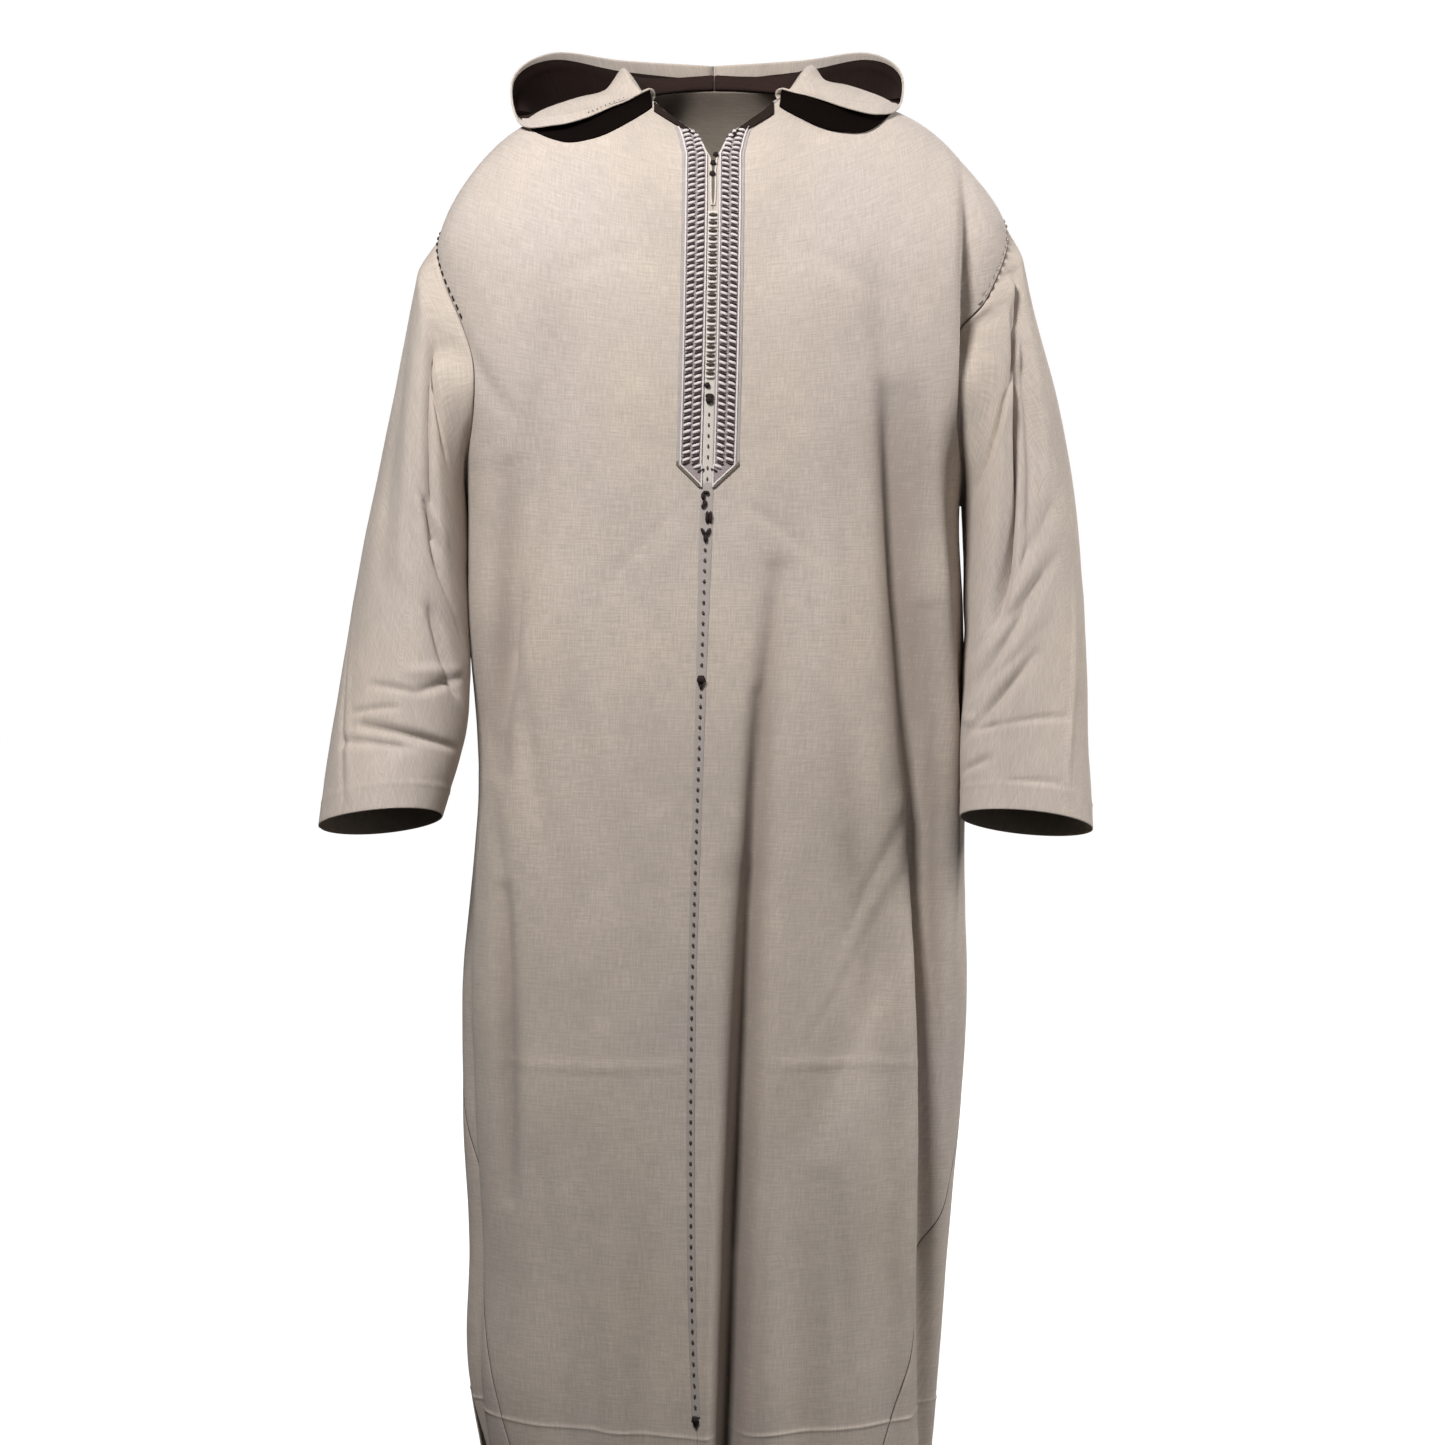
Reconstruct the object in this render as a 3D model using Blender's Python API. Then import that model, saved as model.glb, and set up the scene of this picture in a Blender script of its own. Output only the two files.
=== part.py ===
"""A hooded djellaba, long and loose, in the hollow form that it takes when worn.

Units are metres, +Z is up and the front faces -Y. The wearer's left side is at +X.
The origin is the middle of the neck opening, level with the two shoulder seams' neck
ends, where the wearer's shoulders carry the robe.

The body is a tube of rings. A ring is named by how far down the cloth it lies, and a
point on it by its angle round the body: 0 at the centre front, 90 degrees at the
wearer's left and 180 degrees at the centre back. Every piece is cut from that tube or
starts at one of its edges, so seams meet.
"""

import math

import bmesh
import bpy
import numpy as np

WALL = 0.002
HALF_WALL = WALL / 2
SEAM_GAP = 0.0003
HALF_GAP = SEAM_GAP / 2

RIGHT_ANGLE = math.pi / 2
LEFT, RIGHT = 1.0, -1.0

# The body's rings, by how far down the cloth each lies. The heights are at the centre
# front, at each side and at the centre back, the widths are from the middle to each
# side, and the depths from the middle to the front and to the back.
RING_COLUMNS = ("down", "front_z", "left_z", "right_z", "back_z",
                "left_w", "right_w", "front_d", "back_d", "squareness")
RINGS = (
    (0.000, -0.034, 0.004, 0.000, 0.014, 0.086, 0.080, 0.066, 0.062, 2.00),
    (0.065, -0.066, -0.004, -0.014, -0.016, 0.143, 0.140, 0.094, 0.088, 2.00),
    (0.135, -0.110, -0.028, -0.038, -0.062, 0.205, 0.202, 0.112, 0.112, 2.10),
    (0.200, -0.158, -0.068, -0.084, -0.108, 0.251, 0.248, 0.124, 0.124, 2.20),
    (0.270, -0.210, -0.130, -0.142, -0.165, 0.294, 0.278, 0.132, 0.128, 2.35),
    (0.370, -0.290, -0.245, -0.250, -0.262, 0.288, 0.276, 0.138, 0.128, 2.40),
    (0.530, -0.420, -0.415, -0.410, -0.415, 0.247, 0.245, 0.142, 0.124, 2.40),
    (0.640, -0.525, -0.525, -0.525, -0.525, 0.249, 0.242, 0.146, 0.124, 2.40),
    (0.760, -0.640, -0.640, -0.640, -0.640, 0.250, 0.236, 0.150, 0.130, 2.35),
    (0.880, -0.755, -0.755, -0.755, -0.755, 0.252, 0.242, 0.152, 0.138, 2.30),
    (1.020, -0.890, -0.890, -0.890, -0.890, 0.258, 0.256, 0.153, 0.146, 2.25),
    (1.160, -1.025, -1.025, -1.025, -1.025, 0.250, 0.256, 0.156, 0.152, 2.25),
    (1.320, -1.180, -1.180, -1.180, -1.180, 0.236, 0.250, 0.160, 0.158, 2.20),
    (1.440, -1.300, -1.298, -1.298, -1.300, 0.228, 0.252, 0.162, 0.160, 2.20),
    (1.540, -1.400, -1.394, -1.392, -1.400, 0.222, 0.238, 0.162, 0.160, 2.20),
)
HEM_DOWN = 1.540

# How far the centre front seam lies off the middle, by height.
SEAM_COLUMNS = ("z", "offset")
CENTRE_SEAM = (
    (-1.400, -0.013), (-1.340, -0.015), (-1.220, -0.020), (-1.080, -0.022),
    (-0.900, -0.021), (-0.750, -0.017), (-0.590, -0.012), (-0.390, -0.006),
    (-0.280, -0.003), (-0.050, 0.000), (0.000, 0.000),
)

# Half the width of the opening at the centre front, by how far down it is: the V of the
# neck, the slit that the knot buttons close, and the short slit at the hem.
OPENING_COLUMNS = ("down", "half_width")
NECK_OPENING = (
    (0.000, 0.0600), (0.010, 0.0470), (0.020, 0.0345), (0.030, 0.0255), (0.041, 0.0178),
    (0.060, 0.0108), (0.072, 0.0078),
    (0.086, 0.0030), (0.105, 0.0016), (0.130, 0.0020), (0.150, 0.0015), (0.162, 0.00015),
    (1.486, 0.00015), (1.500, 0.0012), (1.540, 0.0042),
)

ARMHOLE_TOP = 0.270
ARMHOLE_BOTTOM = 0.530
ARMHOLE_STEPS = 10
ARMHOLE_HALF_ANGLE = math.radians(19)

GORE_TOP = 1.120
GORE_POINT = math.radians(1.2)
# Where each gore's seam reaches the hem, as a distance from the middle.
GORE_HEM_X = {LEFT: 0.153, RIGHT: 0.188}
SLIT_TOP = 1.355
SLIT_FRONT = math.radians(9.5)
SLIT_BACK = math.radians(2.0)

# The long folds of the front, as troughs that run down the cloth. Each path goes through
# three points as seen from the front, and a negative depth is a ridge.
FOLD_COLUMNS = ("name", "top_x", "mid_x", "low_x", "top_z", "low_z",
                "top_width", "low_width", "top_depth", "mid_depth", "low_depth")
FRONT_FOLDS = (
    ("centre_pleat", 0.060, 0.032, 0.010, -0.500, -1.405, 0.030, 0.0115, 0.0040, 0.021, 0.036),
    ("pleat_lip", 0.014, 0.000, -0.009, -0.780, -1.405, 0.024, 0.014, 0.0000, -0.005, -0.007),
    ("side_valley", 0.160, 0.211, 0.213, -0.235, -1.405, 0.013, 0.015, 0.0040, 0.020, 0.013),
    ("valley_lip", 0.180, 0.188, 0.190, -0.700, -1.405, 0.016, 0.016, 0.0000, -0.006, -0.005),
    ("chest_ridge", 0.194, 0.220, 0.236, -0.190, -0.800, 0.020, 0.018, -0.0030, -0.012, -0.006),
    ("chest_right", -0.156, -0.186, -0.222, -0.235, -0.640, 0.020, 0.024, 0.0020, 0.013, 0.006),
    ("shoulder_left", 0.250, 0.254, 0.250, -0.085, -0.330, 0.010, 0.012, 0.0020, 0.018, 0.012),
    ("shoulder_roll", 0.232, 0.234, 0.228, -0.090, -0.330, 0.016, 0.016, -0.0015, -0.006, -0.003),
    ("waist_left", 0.120, 0.142, 0.168, -0.400, -1.000, 0.020, 0.030, 0.0020, 0.009, 0.002),
    ("thigh_left", 0.190, 0.152, 0.088, -0.740, -1.060, 0.022, 0.028, 0.0020, 0.009, 0.002),
    ("thigh_right", -0.140, -0.136, -0.128, -0.880, -1.405, 0.030, 0.030, 0.0000, 0.006, 0.011),
    ("knee_right", -0.062, -0.066, -0.072, -0.980, -1.405, 0.022, 0.024, 0.0000, 0.005, 0.009),
    ("knee_left", 0.086, 0.090, 0.094, -0.960, -1.405, 0.026, 0.030, 0.0000, 0.007, 0.012),
)

# The folds of the sides and back, as the front's, with the path given by its angles in
# degrees round the body.
ROUND_FOLDS = (
    ("side_right", -82, -80, -78, -0.780, -1.405, 0.018, 0.022, 0.0000, 0.014, 0.012),
    ("back_side_left", 112, 116, 118, -0.300, -1.405, 0.018, 0.024, 0.0020, 0.016, 0.018),
    ("back_blade_left", 146, 144, 142, -0.230, -1.405, 0.020, 0.026, 0.0010, 0.010, 0.020),
    ("back_middle", 178, 182, 180, -0.440, -1.405, 0.030, 0.024, 0.0010, 0.008, 0.018),
    ("back_blade_right", -147, -143, -146, -0.230, -1.405, 0.022, 0.026, 0.0010, 0.012, 0.022),
    ("back_side_right", -112, -115, -119, -0.300, -1.405, 0.018, 0.024, 0.0020, 0.015, 0.017),
)

# The sleeves' rings, from just outside the armhole to the cuff. The outer and inner
# points are the ring's ends as seen from the front, at the wearer's left; forward is how
# far in front of the body's middle the ring lies, half_depth is half its size from front
# to back, lift is how much higher its front is than its middle, and slew is how much
# further forward its inner end is than its middle.
SLEEVE_COLUMNS = ("along", "outer_x", "outer_z", "inner_x", "inner_z",
                  "forward", "half_depth", "lift", "slew")
SLEEVE_LEFT = (
    (0.05, 0.312, -0.166, 0.2525, -0.432, 0.000, 0.086, 0.000, 0.000),
    (0.14, 0.326, -0.225, 0.2535, -0.462, 0.002, 0.090, 0.000, 0.004),
    (0.26, 0.348, -0.305, 0.2540, -0.500, 0.006, 0.088, 0.000, 0.012),
    (0.40, 0.365, -0.398, 0.2535, -0.545, 0.014, 0.083, 0.002, 0.020),
    (0.54, 0.373, -0.492, 0.2515, -0.590, 0.028, 0.078, 0.006, 0.024),
    (0.68, 0.375, -0.578, 0.2480, -0.632, 0.048, 0.072, 0.010, 0.022),
    (0.82, 0.374, -0.650, 0.2450, -0.672, 0.070, 0.066, 0.013, 0.018),
    (1.00, 0.375, -0.738, 0.2430, -0.722, 0.098, 0.060, 0.016, 0.010),
)
SLEEVE_RIGHT = (
    (0.05, 0.298, -0.180, 0.2505, -0.428, 0.000, 0.084, 0.000, 0.000),
    (0.14, 0.310, -0.240, 0.2510, -0.460, 0.002, 0.088, 0.000, 0.004),
    (0.26, 0.326, -0.318, 0.2500, -0.500, 0.006, 0.086, 0.000, 0.012),
    (0.40, 0.345, -0.408, 0.2480, -0.545, 0.014, 0.082, 0.002, 0.018),
    (0.54, 0.361, -0.498, 0.2465, -0.590, 0.028, 0.077, 0.006, 0.020),
    (0.68, 0.373, -0.582, 0.2480, -0.632, 0.048, 0.071, 0.010, 0.016),
    (0.82, 0.381, -0.652, 0.2560, -0.672, 0.070, 0.065, 0.013, 0.010),
    (1.00, 0.388, -0.735, 0.2690, -0.722, 0.098, 0.060, 0.016, 0.000),
)
SLEEVE_STEP_OUT = 0.0035

# The sleeves' folds: each runs between two points given by their place along the sleeve
# and their angle round it in degrees, 0 at the outer edge and 90 at the front.
SLEEVE_FOLD_COLUMNS = ("name", "along_a", "round_a", "along_b", "round_b", "width", "depth")
SLEEVE_LEFT_FOLDS = (
    ("armhole_drag", 0.04, 52, 0.46, 128, 0.016, 0.018),
    ("armhole_roll", 0.04, 34, 0.40, 92, 0.013, 0.012),
    ("elbow_upper", 0.62, 168, 0.46, 78, 0.016, 0.007),
    ("elbow_lower", 0.76, 170, 0.60, 84, 0.013, 0.008),
    ("forearm_bulge", 0.86, 176, 0.84, 128, 0.010, 0.006),
)
SLEEVE_RIGHT_FOLDS = (
    ("armhole_drag", 0.03, 70, 0.34, 118, 0.015, 0.010),
    ("elbow_pinch", 0.44, 112, 0.62, 150, 0.011, 0.012),
    ("forearm_long", 0.78, 168, 0.79, 58, 0.009, 0.008),
    ("forearm_short", 0.82, 108, 0.83, 40, 0.008, 0.005),
)

# The hood lies open on the shoulders and back. Each row is a station, by its share of the
# way from the front of the neck to the centre back. There the cloth leaves the neck edge at
# an angle, rolls up, lies over the body at the floor's place, and turns up to the rim of the
# face opening, with its wall bulging outwards. The rim's x is a distance from the middle.
HOOD_COLUMNS = ("share", "neck_angle", "roll_up", "floor_angle", "floor_down", "floor_clear",
                "wall_out", "rim_x", "rim_y", "rim_z")
HOOD_RIGHT = (
    (0.00, 56, 0.0040, 58, 0.020, 0.0060, 0.0000, 0.0640, -0.0520, -0.0020),
    (0.08, 62, 0.0110, 63, 0.030, 0.0070, 0.0000, 0.0770, -0.0580, -0.0090),
    (0.17, 70, 0.0180, 66, 0.042, 0.0080, 0.0010, 0.1010, -0.0660, -0.0210),
    (0.27, 78, 0.0240, 69, 0.060, 0.0080, 0.0020, 0.1260, -0.0720, -0.0340),
    (0.38, 89, 0.0260, 77, 0.086, 0.0080, 0.0040, 0.1570, -0.0680, -0.0410),
    (0.49, 101, 0.0240, 90, 0.098, 0.0080, 0.0080, 0.1930, -0.0370, -0.0340),
    (0.60, 115, 0.0200, 107, 0.108, 0.0080, 0.0120, 0.2030, 0.0120, 0.0180),
    (0.73, 133, 0.0170, 128, 0.165, 0.0110, 0.0200, 0.1660, 0.0660, 0.0540),
    (0.86, 155, 0.0150, 152, 0.262, 0.0140, 0.0300, 0.0950, 0.1140, 0.0550),
    (1.00, 180, 0.0150, 180, 0.350, 0.0150, 0.0300, 0.0000, 0.1420, 0.0540),
)
HOOD_LEFT = (
    (0.00, 56, 0.0040, 58, 0.020, 0.0060, 0.0000, 0.0680, -0.0530, -0.0020),
    (0.08, 62, 0.0110, 63, 0.030, 0.0070, 0.0000, 0.0830, -0.0580, -0.0080),
    (0.17, 70, 0.0180, 66, 0.042, 0.0080, 0.0010, 0.1070, -0.0650, -0.0170),
    (0.27, 78, 0.0210, 69, 0.057, 0.0080, 0.0020, 0.1340, -0.0690, -0.0260),
    (0.38, 89, 0.0230, 78, 0.080, 0.0080, 0.0040, 0.1620, -0.0580, -0.0290),
    (0.49, 101, 0.0230, 91, 0.090, 0.0080, 0.0080, 0.1850, -0.0270, -0.0170),
    (0.60, 115, 0.0200, 108, 0.101, 0.0080, 0.0120, 0.1900, 0.0170, 0.0240),
    (0.73, 133, 0.0170, 128, 0.165, 0.0110, 0.0200, 0.1580, 0.0660, 0.0540),
    (0.86, 155, 0.0150, 152, 0.262, 0.0140, 0.0300, 0.0900, 0.1140, 0.0550),
    (1.00, 180, 0.0150, 180, 0.350, 0.0150, 0.0300, 0.0000, 0.1420, 0.0540),
)
HOOD_ROLL_OUT = 0.011
# How far along the cloth, from the neck edge to the rim, each of its stops lies.
HOOD_STOPS = (0.0, 0.04, 0.16, 0.30, 0.45, 0.60, 0.80, 1.0)
# The front stations are almost straight strips, and the back ones hang in a round turn.
HOOD_STRAIGHT = 0.28
HOOD_FLOOR_STOP = 5
HOOD_TURN = 0.20
HOOD_ARCH = 0.0060
HOOD_LIFT = 0.0008

# The placket's two braided bands, one at each side of the centre seam. Each line across a
# band is given by its distance from the seam and the height of the band's face there.
BAND_COLUMNS = ("line", "face")
BAND_LINES = (
    (0.0056, 0.0022), (0.0066, 0.0032), (0.0080, 0.0024), (0.0120, 0.0029), (0.0160, 0.0024),
    (0.0200, 0.0029), (0.0240, 0.0024), (0.0256, 0.0032), (0.0268, 0.0022), (0.0300, 0.0020),
)
TRIM_BASE = 0.0013
BAND_TOP = 0.033
BAND_SHOULDER = 0.482
BAND_POINT = 0.508
BAND_POINT_WIDTH = 0.0080

# The row of knot buttons and loops that closes the placket, as bars across the seam.
BUTTON_HALF_WIDTH = 0.0048
BUTTON_TOP = 0.168
BUTTON_LOW = 0.378
BUTTON_BARS = 18
BUTTON_FACE = 0.0020
BUTTON_RISE = 0.0038

# Small raised motifs and knots on the centre seam: where each starts and ends down the
# cloth, its half width, how far its middle is off the seam, and how high its face stands.
MOTIF_COLUMNS = ("name", "top", "low", "half_width", "offset", "face")
MOTIFS = (
    ("neck_knots", 0.080, 0.116, 0.0048, 0.0000, 0.0050),
    ("placket_knot", 0.382, 0.411, 0.0046, 0.0000, 0.0048),
    ("motif_upper", 0.512, 0.531, 0.0042, -0.0010, 0.0034),
    ("motif_middle", 0.534, 0.547, 0.0046, 0.0010, 0.0034),
    ("motif_lower", 0.552, 0.566, 0.0044, 0.0000, 0.0036),
    ("waist_knot", 0.700, 0.711, 0.0044, 0.0000, 0.0046),
    ("hem_knot", 1.442, 1.454, 0.0042, 0.0000, 0.0044),
)

COLOURS = {
    "wool": (0.62, 0.56, 0.49),
    "braid": (0.70, 0.65, 0.60),
    "knot": (0.06, 0.04, 0.04),
}


def table_column(table, columns, name):
    """One named column of a table, as an array."""
    return np.array([row[columns.index(name)] for row in table], float)


def read_table(table, columns, key, values, name):
    """A smooth curve through a table's column, read at some values of its key column."""
    keys = table_column(table, columns, key)
    entries = table_column(table, columns, name)
    slopes = np.gradient(entries, keys)
    values = np.clip(np.asarray(values, float), keys[0], keys[-1])
    row = np.clip(np.searchsorted(keys, values) - 1, 0, len(keys) - 2)
    step = keys[row + 1] - keys[row]
    t = (values - keys[row]) / step
    return (
        (1 + 2 * t) * (1 - t) ** 2 * entries[row]
        + t * (1 - t) ** 2 * step * slopes[row]
        + t * t * (3 - 2 * t) * entries[row + 1]
        + t * t * (t - 1) * step * slopes[row + 1]
    )


def ring(down, name):
    """One size of the body's ring at some distances down the cloth."""
    return read_table(RINGS, RING_COLUMNS, "down", down, name)


def straight_read(table, columns, key, values, name):
    """A table's column read in straight steps."""
    return np.interp(values, table_column(table, columns, key), table_column(table, columns, name))


def seam_offset(down):
    """How far the centre seam lies off the middle."""
    return read_table(CENTRE_SEAM, SEAM_COLUMNS, "z", ring(down, "front_z"), "offset")


def opening(down):
    """Half the width of the centre front's opening."""
    return straight_read(NECK_OPENING, OPENING_COLUMNS, "down", down, "half_width")


def angle_at(x, down):
    """The angle of the point on the body's front that lies at x."""
    width = np.where(x > 0, ring(down, "left_w"), ring(down, "right_w"))
    power = ring(down, "squareness")
    share = np.clip(np.abs(x) / width, 0, 0.9999)
    y = ring(down, "front_d") * (1 - share**power) ** (1 / power)
    return np.arctan2(x, y)


def body_base(angle, down):
    """The body's smooth tube, without folds."""
    angle, down = np.broadcast_arrays(np.asarray(angle, float), np.asarray(down, float))
    sine, cosine = np.sin(angle), np.cos(angle)
    width = np.where(sine > 0, ring(down, "left_w"), ring(down, "right_w"))
    depth = np.where(cosine > 0, ring(down, "front_d"), ring(down, "back_d"))
    power = ring(down, "squareness")
    reach = (np.abs(sine / width) ** power + np.abs(cosine / depth) ** power) ** (-1 / power)
    share = np.clip(np.abs(reach * sine) / width, 0, 1)
    side_z = np.where(sine > 0, ring(down, "left_z"), ring(down, "right_z"))
    middle_z = np.where(cosine > 0, ring(down, "front_z"), ring(down, "back_z"))
    height = middle_z + (side_z - middle_z) * share**2
    return np.stack([reach * sine, -reach * cosine, height], axis=-1)


def surface_normals(surface, u, v, step_u=1e-4, step_v=1e-4):
    """Unit normals of a surface of two parameters, by small steps each way."""
    v = np.clip(v, step_v, HEM_DOWN - step_v)
    across = surface(u + step_u, v) - surface(u - step_u, v)
    along = surface(u, v + step_v) - surface(u, v - step_v)
    normal = np.cross(along, across)
    return normal / np.linalg.norm(normal, axis=-1, keepdims=True)


def fold_rows(columns, table):
    """A fold table's rows as dictionaries."""
    return [dict(zip(columns, row)) for row in table]


def smooth_step(values):
    """An ease from 0 to 1."""
    t = np.clip(values, 0, 1)
    return t * t * (3 - 2 * t)


def three_point(low, mid, high, t):
    """A quadratic through three evenly spaced values."""
    return low * (1 - t) * (1 - 2 * t) + mid * 4 * t * (1 - t) + high * t * (2 * t - 1)


def trough(distance, width):
    """A soft trough of unit depth with a slight lip on each side."""
    ratio = (distance / width) ** 2
    return (1 - 0.3 * ratio) * np.exp(-ratio)


def fold_depth(fold, angle, path, height, radius):
    """How deep one long fold is at each point."""
    t = (fold["top_z"] - height) / (fold["top_z"] - fold["low_z"])
    inside = np.clip(t, 0, 1)
    depth = three_point(fold["top_depth"], fold["mid_depth"], fold["low_depth"], inside)
    width = fold["top_width"] + (fold["low_width"] - fold["top_width"]) * inside
    fade = np.where(t < 0, np.exp(-((t / 0.06) ** 2)), 1.0)
    fade = np.where(t > 1, np.exp(-(((t - 1) / 0.12) ** 2)), fade)
    turn = (angle - path + math.pi) % (2 * math.pi) - math.pi
    return depth * fade * trough(turn * radius, width)


def body_fold(angle, down):
    """How far the folds sink the body's cloth at each point."""
    base = body_base(angle, down)
    radius = np.hypot(base[..., 0], base[..., 1])
    height = base[..., 2]
    total = np.zeros(height.shape)
    for fold in fold_rows(FOLD_COLUMNS, FRONT_FOLDS):
        t = np.clip((fold["top_z"] - height) / (fold["top_z"] - fold["low_z"]), 0, 1)
        x = three_point(fold["top_x"], fold["mid_x"], fold["low_x"], t)
        total += fold_depth(fold, angle, angle_at(x, down), height, radius)
    for fold in fold_rows(FOLD_COLUMNS, ROUND_FOLDS):
        t = np.clip((fold["top_z"] - height) / (fold["top_z"] - fold["low_z"]), 0, 1)
        path = np.radians(three_point(fold["top_x"], fold["mid_x"], fold["low_x"], t))
        total += fold_depth(fold, angle, path, height, radius)
    return total


def body_surface(angle, down):
    """The body's cloth, at the middle of its wall."""
    angle, down = np.broadcast_arrays(np.asarray(angle, float), np.asarray(down, float))
    normal = surface_normals(body_base, angle, down)
    return body_base(angle, down) - normal * body_fold(angle, down)[..., None]


def body_normals(angle, down):
    """The body's outward normals with its folds."""
    angle, down = np.broadcast_arrays(np.asarray(angle, float), np.asarray(down, float))
    return surface_normals(body_surface, angle, down, 5e-4, 5e-4)


def armhole_turn(down):
    """How far each edge of the armhole stands from the side line."""
    t = (np.asarray(down, float) - ARMHOLE_TOP) / (ARMHOLE_BOTTOM - ARMHOLE_TOP)
    lens = np.sin(math.pi * np.clip(t, 0, 1)) ** 0.85
    return ARMHOLE_HALF_ANGLE * lens


def gap_angle(down, side):
    """Half of a seam's gap at the side line, as an angle."""
    return HALF_GAP / ring(down, "left_w" if side > 0 else "right_w")


def slit_share(down):
    """How far the side slit has opened, from 0 at its top to 1 at the hem."""
    return np.clip((np.asarray(down, float) - SLIT_TOP) / (HEM_DOWN - SLIT_TOP), 0, 1) ** 0.8


def gore_angle(down, side):
    """The angle from the centre front at which a gore's seam runs."""
    hem = abs(float(angle_at(np.array(side * GORE_HEM_X[side]), np.array(HEM_DOWN))))
    t = np.clip((np.asarray(down, float) - GORE_TOP) / (HEM_DOWN - GORE_TOP), 0, 1)
    return (RIGHT_ANGLE - GORE_POINT) * (1 - t) + hem * t


def panel_edge(down, side):
    """How far from its own centre line a front or back panel reaches, as an angle."""
    down = np.asarray(down, float)
    plain = RIGHT_ANGLE - armhole_turn(down) - gap_angle(down, side)
    cut = gore_angle(down, side) - gap_angle(down, side)
    return np.where(down >= GORE_TOP - 1e-9, cut, plain)


def panel_spread(down, side):
    """The edge that a panel's inner columns are spaced by, without the gore's step."""
    down = np.asarray(down, float)
    t = np.clip((down - GORE_TOP) / (HEM_DOWN - GORE_TOP), 0, 1)
    step = np.where(down >= GORE_TOP - 1e-9, GORE_POINT * (1 - t), 0)
    return panel_edge(down, side) + step


def armhole_rows():
    """The distances down the cloth at which the armhole has points."""
    return np.linspace(ARMHOLE_TOP, ARMHOLE_BOTTOM, ARMHOLE_STEPS + 1)


def body_rows():
    """The distances down the cloth of a panel's rows."""
    neck = np.array([0.0, 0.020, 0.041, 0.060, 0.072, 0.086, 0.105, 0.130, 0.162])
    yoke = np.array([0.200, 0.236])
    chest = np.linspace(ARMHOLE_BOTTOM, GORE_TOP - 0.0006, 10)[1:]
    skirt = np.linspace(GORE_TOP, SLIT_TOP, 6)
    hem = np.linspace(SLIT_TOP, HEM_DOWN, 5)[1:]
    return np.concatenate([neck, yoke, armhole_rows(), chest, skirt, hem])


def clean_mesh(name, verts, faces):
    """A mesh of the given points and faces, with its faces pointing out."""
    mesh = bpy.data.meshes.new(name)
    mesh.from_pydata([tuple(v) for v in verts], [], faces)
    builder = bmesh.new()
    builder.from_mesh(mesh)
    bmesh.ops.triangulate(builder, faces=[f for f in builder.faces if len(f.verts) > 3])
    bmesh.ops.recalc_face_normals(builder, faces=builder.faces)
    if builder.calc_volume(signed=True) < 0:
        bmesh.ops.reverse_faces(builder, faces=builder.faces)
    builder.to_mesh(mesh)
    builder.free()
    return mesh


def add_object(name, mesh, colour):
    """A shaded object with its own material."""
    material = bpy.data.materials.new(name + "_finish")
    material.use_nodes = True
    shader = material.node_tree.nodes["Principled BSDF"]
    shader.inputs["Base Color"].default_value = (*COLOURS[colour], 1.0)
    shader.inputs["Roughness"].default_value = 0.9
    shader.inputs["Metallic"].default_value = 0.0
    mesh.materials.append(material)
    mesh.shade_smooth()
    mesh.set_sharp_from_angle(angle=math.radians(50))
    piece = bpy.data.objects.new(name, mesh)
    bpy.context.scene.collection.objects.link(piece)
    return piece


def grid_normals(points, closed):
    """Unit normals at the points of a grid, which may close round its second axis."""
    along = np.gradient(points, axis=0)
    if closed:
        across = np.roll(points, -1, axis=1) - np.roll(points, 1, axis=1)
    else:
        across = np.gradient(points, axis=1)
    normal = np.cross(along, across)
    return normal / np.maximum(np.linalg.norm(normal, axis=-1, keepdims=True), 1e-12)


def wall_from_faces(name, outer, inner, closed, colour):
    """A closed wall between an outer and an inner grid of points."""
    rows, columns = outer.shape[:2]
    count = rows * columns
    verts = np.concatenate([outer.reshape(-1, 3), inner.reshape(-1, 3)])
    last = columns if closed else columns - 1
    faces = []
    for i in range(rows - 1):
        for j in range(last):
            k = (j + 1) % columns
            a, b, c, d = i * columns + j, i * columns + k, (i + 1) * columns + k, (i + 1) * columns + j
            faces.append((a, b, c, d))
            faces.append((count + d, count + c, count + b, count + a))
    for j in range(last):
        k = (j + 1) % columns
        low = (rows - 1) * columns
        faces.append((j, count + j, count + k, k))
        faces.append((low + j, low + k, count + low + k, count + low + j))
    if not closed:
        for i in range(rows - 1):
            a, b = i * columns, (i + 1) * columns
            c, d = a + columns - 1, b + columns - 1
            faces.append((a, b, count + b, count + a))
            faces.append((c, count + c, count + d, d))
    return add_object(name, clean_mesh(name, verts, faces), colour)


def cloth_wall(name, middle, normals, closed=False, colour="wool"):
    """A cloth wall of the usual thickness about its middle surface."""
    return wall_from_faces(name, middle + normals * HALF_WALL, middle - normals * HALF_WALL, closed, colour)


# Columns of a front panel, from the centre seam to its edge. The first few are the
# placket's lines. The left panel's next ones follow its two largest folds, each by its
# offset from the middle of the fold, with the rest shared between them.
PLACKET_LINES = (0.0, 0.0055, 0.0180, 0.0300)
PLEAT_OFFSETS = (-0.017, -0.0095, -0.0035, 0.0035, 0.0095, 0.017)
VALLEY_OFFSETS = (-0.0135, -0.0045, 0.0045, 0.0135)
LEFT_COLUMNS = 19
RIGHT_COLUMNS = 9
PLEAT_RADIUS = 0.150
VALLEY_RADIUS = 0.240


def fold_angle(name, down):
    """The angle at which one of the front's folds runs."""
    fold = next(row for row in fold_rows(FOLD_COLUMNS, FRONT_FOLDS) if row["name"] == name)
    height = ring(down, "front_z")
    t = np.clip((fold["top_z"] - height) / (fold["top_z"] - fold["low_z"]), 0, 1)
    return angle_at(three_point(fold["top_x"], fold["mid_x"], fold["low_x"], t), down)


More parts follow.
